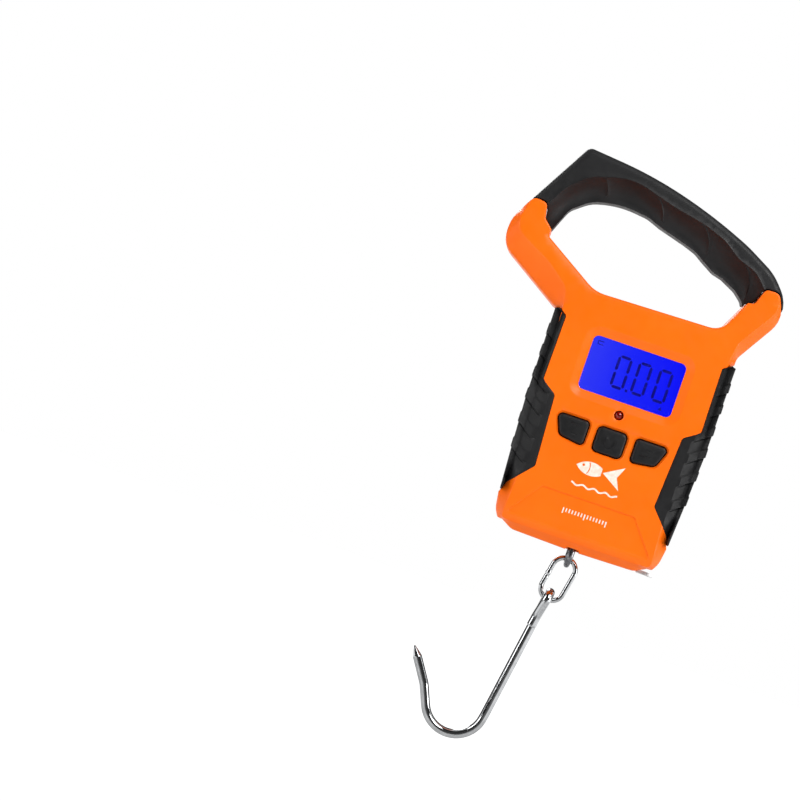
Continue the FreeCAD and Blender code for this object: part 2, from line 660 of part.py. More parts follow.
def make_load_path():
    save("load_cell", load_cell())
    save("strain_gauges", strain_gauge(-1), strain_gauge(1))
    save("load_cell_bracket", load_cell_bracket())
    save("load_cell_screws", *load_cell_screws())
    save("load_loop", load_loop())
    save("chain_link", chain_link())
    save("hook", hook())


def load_loop():
    """Closed loop in the YZ plane, through the load cell's eye and out of the bottom slot."""
    top = CELL_EYE[1] - CELL_EYE_R + LOOP_R + REST_GAP / 2
    bend = LOOP_TOP_BEND
    h, s = LOOP_HALF, LOOP_HALF - bend
    low = LOOP_BOTTOM + h
    diagonal = bend * math.sqrt(0.5)
    path = [
        line(V(0, 0, top), V(0, s, top)),
        arc(V(0, s, top), V(0, s + diagonal, top - bend + diagonal), V(0, h, top - bend)),
        line(V(0, h, top - bend), V(0, h, low)),
        arc(V(0, h, low), V(0, 0, LOOP_BOTTOM), V(0, -h, low)),
        line(V(0, -h, low), V(0, -h, top - bend)),
        arc(V(0, -h, top - bend), V(0, -s - diagonal, top - bend + diagonal), V(0, -s, top)),
        line(V(0, -s, top), V(0, 0, top)),
    ]
    return wire_rod(path, LOOP_R, closed=True)


def chain_link():
    """Oval link in the XZ plane, hanging in the load loop and tilted about it."""
    top = LOOP_BOTTOM + LOOP_R + LINK_R + REST_GAP
    high = top - LINK_BEND
    low = top - LINK_LENGTH + LINK_BEND
    b = LINK_BEND
    path = [
        line(V(b, 0, high), V(b, 0, low)),
        arc(V(b, 0, low), V(0, 0, low - b), V(-b, 0, low)),
        line(V(-b, 0, low), V(-b, 0, high)),
        arc(V(-b, 0, high), V(0, 0, top), V(b, 0, high)),
    ]
    link = wire_rod(path, LINK_R, closed=True)
    link.rotate(V(0, 0, LOOP_BOTTOM), V(0, 1, 0), LINK_TILT)
    return link


def link_foot():
    """Centre of the link's wire where the hook hangs."""
    reach = LINK_LENGTH - (LOOP_R + LINK_R + REST_GAP)
    tilt = math.radians(LINK_TILT)
    return -reach * math.sin(tilt), LOOP_BOTTOM - reach * math.cos(tilt)


def polar(degrees):
    """Unit vector in the XZ plane, at an angle from -Z towards -X."""
    angle = math.radians(degrees)
    return V(-math.sin(angle), 0, -math.cos(angle))


def hook():
    """J hook of round wire: a folded eye across the hook's plane, shank, bend and point."""
    foot_x, foot_z = link_foot()
    down = polar(HOOK_TILT)
    side = V(0, HOOK_R + 0.05, 0)
    eye_centre = V(foot_x, 0, foot_z) - down * (LINK_R + HOOK_R + REST_GAP - HOOK_EYE_BEND)
    crown = eye_centre - down * HOOK_EYE_BEND
    shank_top = eye_centre + V(0, HOOK_EYE_BEND, 0)
    tail_top = eye_centre - V(0, HOOK_EYE_BEND, 0)
    neck = eye_centre + down * HOOK_NECK
    tail_end = neck - side + down * HOOK_TAIL
    bend_centre = V(HOOK_BEND_CENTRE[0], side.y, HOOK_BEND_CENTRE[1])
    bend_start = bend_centre + polar(HOOK_TILT - 90) * HOOK_BEND
    bend_end = bend_centre + polar(90 - HOOK_RISE) * HOOK_BEND
    bottom = bend_centre + polar((HOOK_TILT - HOOK_RISE) / 2) * HOOK_BEND
    flare = bend_end - polar(-HOOK_RISE) * HOOK_RISE_LENGTH
    point = V(HOOK_POINT[0], side.y, HOOK_POINT[1])
    last_run = point - flare
    last_run.normalize()
    cone_base = point - last_run * HOOK_POINT_LENGTH
    wire = [
        line(tail_end, neck - side),
        line(neck - side, tail_top),
        arc(tail_top, crown, shank_top),
        line(shank_top, neck + side),
        line(neck + side, bend_start),
        arc(bend_start, bottom, bend_end),
        line(bend_end, flare),
        line(flare, cone_base),
    ]
    pieces = [round_run(edge, HOOK_R) for edge in wire]
    for joint in (neck - side, tail_top, shank_top, neck + side, flare):
        pieces.append(Part.makeSphere(HOOK_R, joint))
    pieces.append(Part.makeCone(HOOK_R, HOOK_TIP_R, HOOK_POINT_LENGTH, cone_base, last_run))
    return pieces[0].fuse(pieces[1:]).removeSplitter()


def round_run(edge, radius):
    start = edge.valueAt(edge.FirstParameter)
    direction = edge.tangentAt(edge.FirstParameter)
    section = Part.Wire(Part.makeCircle(radius, start, direction))
    return Part.Wire([edge]).makePipeShell([section], True, False)


# ---- retractable tape --------------------------------------------------------------------------
def spiral_strip(x, z, first_radius, step, half_turns, thickness, y0, y1):
    """Flat spiral spring made of half circles about two centres step/2 apart."""
    sides = []
    for offset in (-thickness / 2, thickness / 2):
        edges = []
        for i in range(half_turns):
            centre = x - (step / 2 if i % 2 else 0.0)
            sign = 1 if i % 2 else -1
            radius = first_radius + i * step / 2 + offset
            a = V(centre + sign * radius, y0, z)
            middle = V(centre, y0, z + radius * sign)
            b = V(centre - sign * radius, y0, z)
            edges.append(arc(a, middle, b))
        sides.append(edges)
    inner, outer = sides
    start = line(inner[0].Vertexes[0].Point, outer[0].Vertexes[0].Point)
    end = line(inner[-1].Vertexes[-1].Point, outer[-1].Vertexes[-1].Point)
    ordered = Part.sortEdges(inner + outer + [start, end])[0]
    return Part.Face(Part.Wire(ordered)).extrude(V(0, y1 - y0, 0))


def tape_case():
    x, z = TAPE_CENTRE
    front, back = TAPE_CASE_Y
    case = rod(x, z, TAPE_CASE_R, front, back - TAPE_CASE_WALL)
    room = rod(x, z, TAPE_CASE_R - TAPE_CASE_WALL, front + TAPE_CASE_WALL, back)
    channel = slab(TAPE_SLOT_X[0], TAPE_SLOT_X[1], -SPOOL_HALF_WIDTH, SPOOL_HALF_WIDTH,
                   z - 2 * TAPE_CASE_R, z + 2 * TAPE_CASE_R)
    return case.cut(room).cut(channel)


def tape_spool():
    x, z = TAPE_CENTRE
    half = SPOOL_HALF_WIDTH
    rims = [rod(x, z, SPOOL_RIM_R, -half, -half + SPOOL_RIM_THICK)]
    rims.append(rod(x, z, SPOOL_RIM_R, half - SPOOL_RIM_THICK, half))
    return rod(x, z, SPOOL_HUB_R, -half, half).fuse(rims).cut(rod(x, z, TAPE_AXLE_R + 0.06, -5, 5))


def tape_tab():
    """Bent sheet: a leg that lies on the blade, and a foot outwards with rounded corners."""
    leg_x = TAPE_X + TAPE_THICK
    leg = slab(leg_x, leg_x + TAB_THICK, -TAPE_HALF_WIDTH, TAPE_HALF_WIDTH, TAPE_END, TAPE_END + TAB_LEG)
    foot = slab(TAB_X[0], TAB_X[1], -TAB_HALF_WIDTH, TAB_HALF_WIDTH, TAPE_END - TAB_THICK, TAPE_END)
    corners = [e for e in foot.Edges
               if e.Length < TAB_THICK + 0.01 and e.CenterOfMass.x > TAB_X[1] - 0.01]
    return leg.fuse(foot.makeFillet(TAB_CORNER_R, corners)).removeSplitter()


def tape_rivet(y):
    start = V(TAPE_X + TAPE_THICK + TAB_THICK, y, TAPE_END + RIVET_RISE)
    return Part.makeCylinder(RIVET_R, RIVET_HEIGHT, start, V(1, 0, 0))


def make_tape():
    x, z = TAPE_CENTRE
    front, back = TAPE_CASE_Y
    save("tape_case", tape_case())
    save("tape_case_cover", rod(x, z, TAPE_CASE_R, back - TAPE_CASE_WALL, back))
    save("tape_axle", rod(x, z, TAPE_AXLE_R, front + TAPE_CASE_WALL, back - TAPE_CASE_WALL))
    save("tape_spring", spiral_strip(x, z, 2.4, 0.9, 12, 0.25, 4.2, 5.6))
    save("tape_spool", tape_spool())
    half = TAPE_HALF_WIDTH
    save("tape_coil", rod(x, z, COIL_R, -half, half).cut(rod(x, z, SPOOL_HUB_R, -half - 1, half + 1)))
    top = TAPE_END + TAPE_TRAVEL + 2.0
    save("tape_blade", slab(TAPE_X, TAPE_X + TAPE_THICK, -half, half, TAPE_END, top))
    save("tape_tab", tape_tab())
    save("tape_tab_rivets", *[tape_rivet(y) for y in RIVET_Y])


def main():
    os.makedirs("parts", exist_ok=True)
    make_housing()
    save("housing_screws", *[housing_screw(x, z) for x, z in BODY_SCREWS + ARM_SCREWS])
    make_display()
    make_board()
    make_buttons()
    make_batteries()
    save("battery_cover", battery_cover())
    save("battery_cover_pin", battery_cover_pin())
    make_load_path()
    make_tape()


main()
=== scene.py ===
"""Looks of the digital fish scale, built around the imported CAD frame.

Shape work is in millimetres in the frame's own axes and scaled once, when a mesh is made.
Moulded parts are reliefs: a height above the parting plane (Y = 0) over the front view,
triangulated so that outlines, ridges and creases are real edges.
"""

import math

import bmesh
import bpy
import numpy as np
from mathutils import Matrix, Vector
from mathutils.geometry import delaunay_2d_cdt


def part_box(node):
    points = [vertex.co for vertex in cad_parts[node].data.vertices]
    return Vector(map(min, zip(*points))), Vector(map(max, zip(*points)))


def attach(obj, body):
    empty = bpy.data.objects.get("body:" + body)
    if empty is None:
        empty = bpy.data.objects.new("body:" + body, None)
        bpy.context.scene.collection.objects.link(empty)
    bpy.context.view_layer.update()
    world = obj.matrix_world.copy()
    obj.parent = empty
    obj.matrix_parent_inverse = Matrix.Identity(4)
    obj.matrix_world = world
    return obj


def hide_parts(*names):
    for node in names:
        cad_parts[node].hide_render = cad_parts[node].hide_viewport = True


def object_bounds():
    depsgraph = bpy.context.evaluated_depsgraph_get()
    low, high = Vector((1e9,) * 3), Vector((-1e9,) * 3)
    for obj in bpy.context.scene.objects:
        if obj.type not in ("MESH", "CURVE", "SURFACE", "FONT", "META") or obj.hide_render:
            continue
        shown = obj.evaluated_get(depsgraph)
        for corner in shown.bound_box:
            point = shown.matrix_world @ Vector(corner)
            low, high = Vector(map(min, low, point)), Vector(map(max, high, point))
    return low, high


MM = 0.001
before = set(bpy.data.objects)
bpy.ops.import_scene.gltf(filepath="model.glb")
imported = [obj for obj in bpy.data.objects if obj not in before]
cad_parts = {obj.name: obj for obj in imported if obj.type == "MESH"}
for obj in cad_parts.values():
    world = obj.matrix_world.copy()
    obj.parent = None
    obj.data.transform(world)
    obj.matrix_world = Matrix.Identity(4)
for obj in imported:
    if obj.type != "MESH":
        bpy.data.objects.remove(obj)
cad_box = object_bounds()


# ---- sizes taken from the frame (mm) ----
def node_box(name):
    """Lowest and highest corner of a CAD node, in millimetres."""
    low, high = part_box(name)
    return np.array(low) / MM, np.array(high) / MM


SHELL_LOW = node_box("front_shell")[0]
LENS_LOW, LENS_HIGH = node_box("display_lens")
LED_LOW, LED_HIGH = node_box("led_indicator")
COVER_LOW, COVER_HIGH = node_box("battery_cover")
BLADE_LOW, BLADE_HIGH = node_box("tape_blade")
TAB_LOW, TAB_HIGH = node_box("tape_tab")
LOOP_LOW, LOOP_HIGH = node_box("load_loop")
GRIP_CREST = -node_box("handle_grip")[0][1]
GLASS_FRONT = -node_box("lcd_glass")[0][1]

LEFT, CREST, BOTTOM = SHELL_LOW * (1, -1, 1)    # CREST: height of the front and back faces
INSIDE = CREST - 2.4                  # height of the shells' inner faces
RIM = 8.3                             # height of the side walls, up to the outer bevel
PARTING = 0.12                        # half the gap between the shells
LENS_FLANGE = 2.2
WINDOW_X = (LENS_LOW[0] + LENS_FLANGE, LENS_HIGH[0] - LENS_FLANGE)
WINDOW_Z = (LENS_LOW[2] + LENS_FLANGE, LENS_HIGH[2] - LENS_FLANGE)
BEZEL_DEPTH = 1.2
LED_X, LED_Z = (LED_LOW[0] + LED_HIGH[0]) / 2, (LED_LOW[2] + LED_HIGH[2]) / 2


# ---- outlines: corners (x, z, rounding radius) ----
SIDE_LEFT = [
    (-64.9, -17.0, 0), (LEFT, -22.5, 14), (LEFT, -33.2, 10), (-39.9, -50.7, 1.2),
    (-37.4, -51.6, 0.3), (-37.3, -88.0, 60), (-35.2, -127.2, 0.4), (-36.35, -130.5, 0.5),
    (-35.3, -137.4, 9), (-33.4, -140.5, 1.2), (-31.2, -140.6, 0.8), (-26.5, -143.3, 6),
]
SIDE_RIGHT = [
    (26.5, -143.3, 6), (31.2, -140.6, 0.8), (33.4, -140.5, 1.2), (35.3, -137.4, 9),
    (36.35, -130.5, 0.5), (35.2, -127.2, 0.4), (37.3, -88.0, 60), (37.3, -51.4, 0.3),
    (38.2, -50.3, 0.6), (38.2, -47.4, 5), (49.4, -29.1, 12), (49.4, -24.6, 0),
]
SHELL_INNER = [
    (45.8, -16.9, 3), (39.9, -16.9, 2.4), (37.5, -24.0, 2), (34.7, -24.5, 1),
    (33.3, -27.2, 1.2), (27.6, -38.8, 7.5), (-25.5, -40.2, 14), (-50.9, -24.6, 1.6),
    (-50.3, -22.0, 0.8), (-54.3, -18.3, 2), (-55.5, -12.2, 2.2), (-61.5, -11.3, 3.6),
]
RIDGE = [
    (-61.5, -11.3, 0), (-64.3, -21.2, 9), (-62.7, -26.3, 4), (-46.8, -34.4, 26),
    (-36.6, -42.6, 8), (-35.6, -52.0, 6), (-34.9, -80.0, 8), (-31.6, -88.0, 8),
    (-30.9, -121.0, 12), (-32.0, -139.8, 1.8), (32.0, -139.8, 1.8), (30.9, -121.0, 12),
    (31.6, -88.0, 8), (34.9, -80.0, 8), (35.0, -49.0, 6), (36.2, -41.6, 9),
    (47.2, -24.4, 8), (45.8, -16.9, 0),
]
GRIP_OUTER = [
    (-64.6, -16.6, 0), (-46.65, 15.25, 3.2), (-16.8, 12.28, 175), (10.0, 4.65, 210),
    (27.4, -2.4, 60), (41.3, -9.9, 24), (49.4, -19.2, 14), (49.4, -24.5, 0),
]
GRIP_INNER = [
    (46.0, -16.6, 2.8), (39.7, -16.6, 2.2), (37.3, -23.8, 2), (34.5, -24.3, 1),
    (33.6, -26.8, 0.6), (32.2, -24.2, 3), (28.6, -21.2, 6), (22.2, -18.1, 2.4),
    (17.8, -17.0, 5), (12.4, -13.9, 2), (8.4, -11.4, 8), (3.2, -9.6, 3), (-8.6, -6.3, 2),
    (-14.6, -4.0, 12), (-28.0, -2.4, 40), (-38.9, -5.5, 14), (-46.0, -11.2, 7),
    (-48.2, -16.3, 1.4), (-50.5, -22.0, 0.5), (-54.4, -18.0, 2), (-55.3, -11.9, 2.1),
    (-61.6, -11.0, 3.4),
]
GRIP_CREASE = [
    (-55.3, -12.6, 0), (-50.3, -3.4, 14), (-42.8, 3.4, 14), (-26.0, 8.6, 26),
    (-6.0, 2.8, 40), (8.0, 0.0, 30), (18.0, -3.6, 20), (26.0, -9.2, 14),
    (34.0, -11.6, 12), (39.9, -18.0, 0),
]
SIDE_GRIP_EDGE = [
    (39.2, -51.6, 0), (36.9, -51.0, 1), (33.4, -53.3, 1.6), (33.8, -81.1, 2),
    (27.3, -85.4, 2), (25.5, -115.4, 1.4), (34.4, -125.4, 6), (36.9, -131.2, 0),
]
LOWER_PANEL = [
    (-31.4, -137.0, 1), (-20.4, -121.9, 2.5), (19.6, -121.9, 2.5), (31.4, -137.0, 1),
]
MODE_KEY = [(-23.6, -91.5, 1.6), (-10.2, -91.5, 1.5), (-10.2, -101.4, 1.5), (-20.4, -100.0, 2.4)]
POWER_KEY = [(-6.0, -91.5, 2), (6.0, -91.5, 2), (6.0, -101.8, 2), (-6.0, -101.8, 2)]
UNIT_KEY = [(-x, z, r) for x, z, r in reversed(MODE_KEY)]


def rectangle(xs, zs, radius):
    return [(xs[0], zs[1], radius), (xs[1], zs[1], radius), (xs[1], zs[0], radius), (xs[0], zs[0], radius)]


def circle(x, z, radius):
    """Square of corners whose rounding makes a full circle."""
    return rectangle((x - radius, x + radius), (z - radius, z + radius), radius * 0.9999)


def grown(corners, distance):
    """The closed outline moved outwards by distance, or inwards where it is negative."""
    count = len(corners)
    area = sum(corners[i - 1][0] * corners[i][1] - corners[i][0] * corners[i - 1][1]
               for i in range(count))
    side = 1.0 if area < 0 else -1.0
    result = []
    for i, (x, z, r) in enumerate(corners):
        before = np.array((x, z)) - corners[i - 1][:2]
        after = np.array(corners[(i + 1) % count][:2]) - (x, z)
        before = before / np.hypot(*before)
        after = after / np.hypot(*after)
        turn = before[0] * after[1] - before[1] * after[0]
        shift_a = side * distance * np.array((-before[1], before[0]))
        shift_b = side * distance * np.array((-after[1], after[0]))
        along = 0.0
        if abs(turn) > 1e-6:
            apart = shift_b - shift_a
            along = (apart[0] * after[1] - apart[1] * after[0]) / turn
        radius = r + distance if turn * side < 0 else r - distance
        place = np.array((x, z)) + shift_a + along * before
        result.append((place[0], place[1], max(radius, 0.0)))
    return result


def rounded(corners, closed=True, step=1.3, turn_step=math.radians(11)):
    """Points along an outline: straight runs between tangent arcs at its corners."""
    count = len(corners)
    stations = []
    for i, (x, z, r) in enumerate(corners):
        here = np.array((x, z), float)
        stations.append(np.array([here]))
        if not closed and i in (0, count - 1):
            continue
        a = np.array(corners[i - 1][:2], float) - here
        b = np.array(corners[(i + 1) % count][:2], float) - here
        a, b = a / np.hypot(*a), b / np.hypot(*b)
        half = math.acos(max(-1.0, min(1.0, float(a @ b)))) / 2
        if r <= 0 or half > math.pi / 2 - 1e-4:
            continue
        reach = r / math.tan(half)
        centre = here + (a + b) / np.hypot(*(a + b)) * (r / math.sin(half))
        start, end = here + a * reach - centre, here + b * reach - centre
        arc = math.pi - 2 * half
        pieces = max(2, math.ceil(arc / turn_step), math.ceil(arc * r / (2 * step)))
        sign = math.copysign(1.0, start[0] * end[1] - start[1] * end[0])
        angles = np.linspace(0, arc, pieces + 1) * sign
        cos, sin = np.cos(angles), np.sin(angles)
        stations[-1] = centre + np.stack((start[0] * cos - start[1] * sin,
                                          start[0] * sin + start[1] * cos), 1)
    points = []
    last = count if closed else count - 1
    for i, station in enumerate(stations):
        points.extend(station)
        if i < last:
            run = stations[(i + 1) % count][0] - station[-1]
            cuts = int(np.hypot(*run) // (2 * step))
            points.extend(station[-1] + run * k / (cuts + 1) for k in range(1, cuts + 1))
    result = np.array(points)
    keep = np.ones(len(result), bool)
    keep[1:] = np.hypot(*(result[1:] - result[:-1]).T) > 1e-4
    return result[keep]


# ---- plane geometry ----
def sideways(along):
    """Unit vectors to the left of each direction."""
    return np.stack((-along[:, 1], along[:, 0]), 1) / np.hypot(along[:, 0], along[:, 1])[:, None]


def shifted(path, distance):
    """An open path moved to the left of its direction, or to the right where it is negative."""
    return path + distance * sideways(np.gradient(path, axis=0))


def inward(loop, distance):
    """A closed loop of points moved to its inner side."""
    following = np.roll(loop, -1, 0)
    area = (loop[:, 0] * following[:, 1] - following[:, 0] * loop[:, 1]).sum()
    moved = loop + sideways(following - np.roll(loop, 1, 0)) * distance * (1 if area > 0 else -1)
    return moved[gap(moved, loop) > distance * 0.93]


def gap(points, path, closed=True):
    """Distance from each point to a path."""
    start = path if closed else path[:-1]
    end = np.roll(path, -1, 0) if closed else path[1:]
    run = end - start
    square = (run ** 2).sum(1) + 1e-12
    result = np.empty(len(points))
    for first in range(0, len(points), 2000):
        part = points[first:first + 2000, None, :] - start[None]
        t = np.clip((part * run).sum(2) / square, 0, 1)
        result[first:first + 2000] = np.sqrt(((part - t[..., None] * run) ** 2).sum(2).min(1))
    return result


def off_line(points, path):
    """Distance from each point to an open path."""
    return gap(points, path, closed=False)


def within(points, loop):
    """True for each point inside a closed loop."""
    x, z = points[:, 0], points[:, 1]
    inside = np.zeros(len(points), bool)
    for (x0, z0), (x1, z1) in zip(loop, np.roll(loop, -1, 0)):
        if z0 == z1:
            continue
        crosses = (z0 > z) != (z1 > z)
        inside ^= crosses & (x < (x1 - x0) * (z - z0) / (z1 - z0) + x0)
    return inside


def smooth(value, low, high):
    t = np.clip((value - low) / (high - low), 0, 1)
    return t * t * (3 - 2 * t)


def fillet(distance, radius):
    """How far a rounded edge lies below its face, at a distance from the edge."""
    short = np.clip(radius - distance, 0, radius)
    return radius - np.sqrt(radius ** 2 - short ** 2)


def stroke(path, width):
    """Closed loop round an open path."""
    path = np.array(path, float)
    return np.concatenate((shifted(path, width / 2), shifted(path, -width / 2)[::-1]))


def arc_points(x, z, radius, start, end, count=14):
    angles = np.radians(np.linspace(start, end, count))
    return np.stack((x + radius * np.cos(angles), z + radius * np.sin(angles)), 1)


def level_row(z, half, count):
    """Points across the front view at one z."""
    return np.array([(x, z) for x in np.linspace(-half, half, count)])


def triangulated(points, edges, border, holes):
    """Corners, the points behind each, and the triangles inside the border and outside the holes."""
    found = delaunay_2d_cdt([Vector(p) for p in points], edges, [], 0, 1e-6, True)
    corners = np.array([tuple(v) for v in found[0]])
    triangles = np.array(found[2])
    centres = corners[triangles].mean(1)
    kept = within(centres, border)
    for hole in holes:
        kept &= ~within(centres, hole)
    return corners, found[3], triangles[kept]


class Relief:
    """Lines with their heights, and a height formula for everything between them."""

    ROW_PITCH = 0.866                 # of the spacing, as in a grid of even triangles
    CLEARANCE = 0.62                  # of the spacing, between the grid and the lines

    def __init__(self, height, spacing=3.0):
        self.height = height
        self.spacing = spacing
        self.points = []
        self.levels = []
        self.edges = []

    def line(self, path, at=None, drop=0.0, closed=True):
        """A line at one height or one per point, or on the surface and lower by drop."""
        first, count = len(self.points), len(path)
        level = self.height(path) - drop if at is None else np.broadcast_to(np.array(at, float), count)
        self.points.extend(path.tolist())
        self.levels.extend(level.tolist())
        last = count if closed else count - 1
        self.edges.extend((first + i, first + (i + 1) % count) for i in range(last))

    def rings(self, corners, *distances, step=1.3, **heights):
        """An outline's copies at distances outside it, or inside where they are negative."""
        for distance in distances:
            self.line(rounded(grown(corners, distance), step=step), **heights)

    def surface(self, border, holes=()):
        """Vertices (x, height, z) and triangles inside the border and outside the holes."""
        placed = np.array(self.points)
        low, high = border.min(0), border.max(0)
        rows = np.arange(low[1], high[1], self.spacing * self.ROW_PITCH)
        grid = np.array([(x, z) for i, z in enumerate(rows)
                         for x in np.arange(low[0] + (i % 2) * self.spacing / 2, high[0], self.spacing)])
        grid = grid[within(grid, border)]
        for hole in holes:
            grid = grid[~within(grid, hole)]
        ends = np.array(self.edges)
        known = np.concatenate((placed, (placed[ends[:, 0]] + placed[ends[:, 1]]) / 2))
        near = np.array([np.hypot(*(known - p).T).min() for p in grid])
        grid = grid[near > self.CLEARANCE * self.spacing]
        corners, sources, triangles = triangulated(self.points + list(grid), self.edges, border, holes)
        levels = self.height(corners)
        on_border = gap(corners, border) < 1e-3
        for i, behind in enumerate(sources):
            explicit = [s for s in behind if s < len(self.levels)]
            if explicit:
                levels[i] = self.levels[explicit[0]]
            if on_border[i]:
                nearest = border[np.hypot(*(border - corners[i]).T).argmin()]
                levels[i] = self.levels[np.hypot(*(placed - nearest).T).argmin()]
        return np.stack((corners[:, 0], levels, corners[:, 1]), 1), triangles


# ---- meshes: (vertices, faces) pairs ----
def joined(*surfaces):
    """Several pairs as one; faces may have any number of corners."""
    vertices, faces, offset = [], [], 0
    for points, polygons in surfaces:
        vertices.append(np.asarray(points, float))
        faces.extend([tuple(int(i) + offset for i in polygon) for polygon in polygons])
        offset += len(points)
    return np.concatenate(vertices), faces


def facing(surface, side):
    """A relief surface turned to face -Y (side -1, the front) or +Y (side 1, the back)."""
    points, faces = surface
    return points * (1, side, 1), faces


def quads(rows, width, looped=False, wrapped=True):
    """Faces of a grid; looped joins the last row to the first, wrapped closes each row."""
    faces = []
    for i in range(rows if looped else rows - 1):
        a, b = i * width, (i + 1) % rows * width
        for k in range(width if wrapped else width - 1):
            after = (k + 1) % width
            faces.append((a + k, a + after, b + after, b + k))
    return faces


def caps(rows, width):
    return [tuple(range(width)), tuple(range((rows - 1) * width, rows * width))]


def wall(rim, top, foot):
    """Vertices of two copies of a rim, at two heights."""
    return np.concatenate((np.insert(rim, 1, top, 1), np.insert(rim, 1, foot, 1)))


def make(name, surface, material, body="housing", replaces=(), crease=32):
    """A mesh object, in metres, welded, with its normals outwards and its creases marked."""
    points, faces = surface
    mesh = bpy.data.meshes.new(name)
    mesh.from_pydata((np.asarray(points) * MM).tolist(), [], [list(map(int, f)) for f in faces])
    work = bmesh.new()
    work.from_mesh(mesh)
    bmesh.ops.remove_doubles(work, verts=work.verts, dist=2e-6)
    bmesh.ops.dissolve_degenerate(work, dist=1e-9, edges=work.edges)
    loose = [v for v in work.verts if not v.link_faces]
    bmesh.ops.delete(work, geom=loose, context="VERTS")
    bmesh.ops.recalc_face_normals(work, faces=work.faces)
    work.to_mesh(mesh)
    work.free()
    mesh.materials.append(material)
    mesh.shade_smooth()
    mesh.set_sharp_from_angle(angle=math.radians(crease))
    piece = bpy.data.objects.new(name, mesh)
    bpy.context.collection.objects.link(piece)
    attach(piece, body)
    if replaces:
        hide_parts(*replaces)


def sweep(path, radius, closed=False, sides=24):
    """Round wire along a path of 3D points; radius is one number or one per point."""
    path = np.asarray(path, float)
    count = len(path)
    radius = np.broadcast_to(np.asarray(radius, float), count)
    along = np.roll(path, -1, 0) - np.roll(path, 1, 0) if closed else np.gradient(path, axis=0)
    along /= np.linalg.norm(along, axis=1)[:, None]
    normal = np.cross(along[0], (0.31, 0.77, 0.55))
    normals = [normal / np.linalg.norm(normal)]
    for t in along[1:]:
        normal = normals[-1] - t * (normals[-1] @ t)
        normals.append(normal / np.linalg.norm(normal))
    turn = 0.0
    if closed:
        last = normals[-1] - along[0] * (normals[-1] @ along[0])
        last /= np.linalg.norm(last)
        turn = math.atan2(np.cross(normals[0], last) @ along[0], normals[0] @ last)
    angles = np.linspace(0, 2 * math.pi, sides, endpoint=False)
    rings = []
    for i in range(count):
        bend = angles - turn * i / count
        binormal = np.cross(along[i], normals[i])
        rings.append(path[i] + radius[i] * (np.cos(bend)[:, None] * normals[i]
                                            + np.sin(bend)[:, None] * binormal))
    faces = quads(count, sides, looped=closed)
    return np.concatenate(rings), faces if closed else faces + caps(count, sides)


def turned(profile, centre, sides=48):
    """Solid of revolution about the line along Y through centre (x, z); profile is (radius, y)."""
    angles = np.linspace(0, 2 * math.pi, sides, endpoint=False)
    points = [(centre[0] + radius * math.cos(a), y, centre[1] + radius * math.sin(a))
              for radius, y in profile for a in angles]
    return np.array(points), quads(len(profile), sides) + caps(len(profile), sides)


def pad(corners, face, back, edge=0.4, crown=0.0, spacing=1.5, marks=(), rise=0.2):
    """Flat-backed moulding on a closed outline, with a rounded front edge.

    crown lowers the face towards its edge; marks are loops that stand proud by rise.
    """
    border = rounded(corners, step=0.6)

    def height(points):
        d = gap(points, border)
        level = face - fillet(d, edge) - crown * (1 - smooth(d, 0, 4.5))
        for mark in marks:
            inside = within(points, mark)
            level = level + np.where(inside, rise * np.clip(gap(points, mark) / 0.08, 0, 1), 0.0)
        return level

    relief = Relief(height, spacing)
    edge_level = face - edge - crown
    relief.line(border, at=edge_level)
    relief.rings(corners, *[-edge * share for share in (0.05, 0.2, 0.5, 1.0)], step=0.6)
    for mark in marks:
        relief.line(mark)
        relief.line(inward(mark, 0.1))
    count = len(border)
    base = tuple(range(count, 2 * count))
    return joined(relief.surface(border), (wall(border, edge_level, back), quads(2, count) + [base]))


def pad_box(low, high, edge):
    """Box with bevelled edges, between two corners."""
    low, high = np.array(low, float), np.array(high, float)
    work = bmesh.new()
    bmesh.ops.create_cube(work, size=1.0)
    bmesh.ops.scale(work, vec=high - low, verts=work.verts)
    bmesh.ops.translate(work, vec=(low + high) / 2, verts=work.verts)
    bmesh.ops.bevel(work, geom=work.edges, offset=edge, segments=2, affect="EDGES", profile=0.5)
    work.verts.index_update()
    points = np.array([tuple(v.co) for v in work.verts])
    faces = [tuple(v.index for v in f.verts) for f in work.faces]
    work.free()
    return points, faces


def plate(loop, front, back, holes=()):
    """Flat piece between two heights, on a loop of points, with holes."""
    rims = [loop] + list(holes)
    edges, first = [], 0
    for rim in rims:
        count = len(rim)
        edges.extend((first + i, first + (i + 1) % count) for i in range(count))
        first += count
    corners, _, triangles = triangulated([p for rim in rims for p in rim], edges, loop, holes)
    surfaces = [(np.insert(corners, 1, level, 1), triangles) for level in (front, back)]
    surfaces += [(wall(rim, front, back), quads(2, len(rim))) for rim in rims]
    return joined(*surfaces)


# ---- materials ----
def linear(r, g, b):
    """sRGB numbers from 0 to 255 as linear light."""
    shares = [c / 255 for c in (r, g, b)]
    return tuple(c / 12.92 if c <= 0.04045 else ((c + 0.055) / 1.055) ** 2.4 for c in shares) + (1.0,)


def grey(value):
    return (value, value, value, 1)


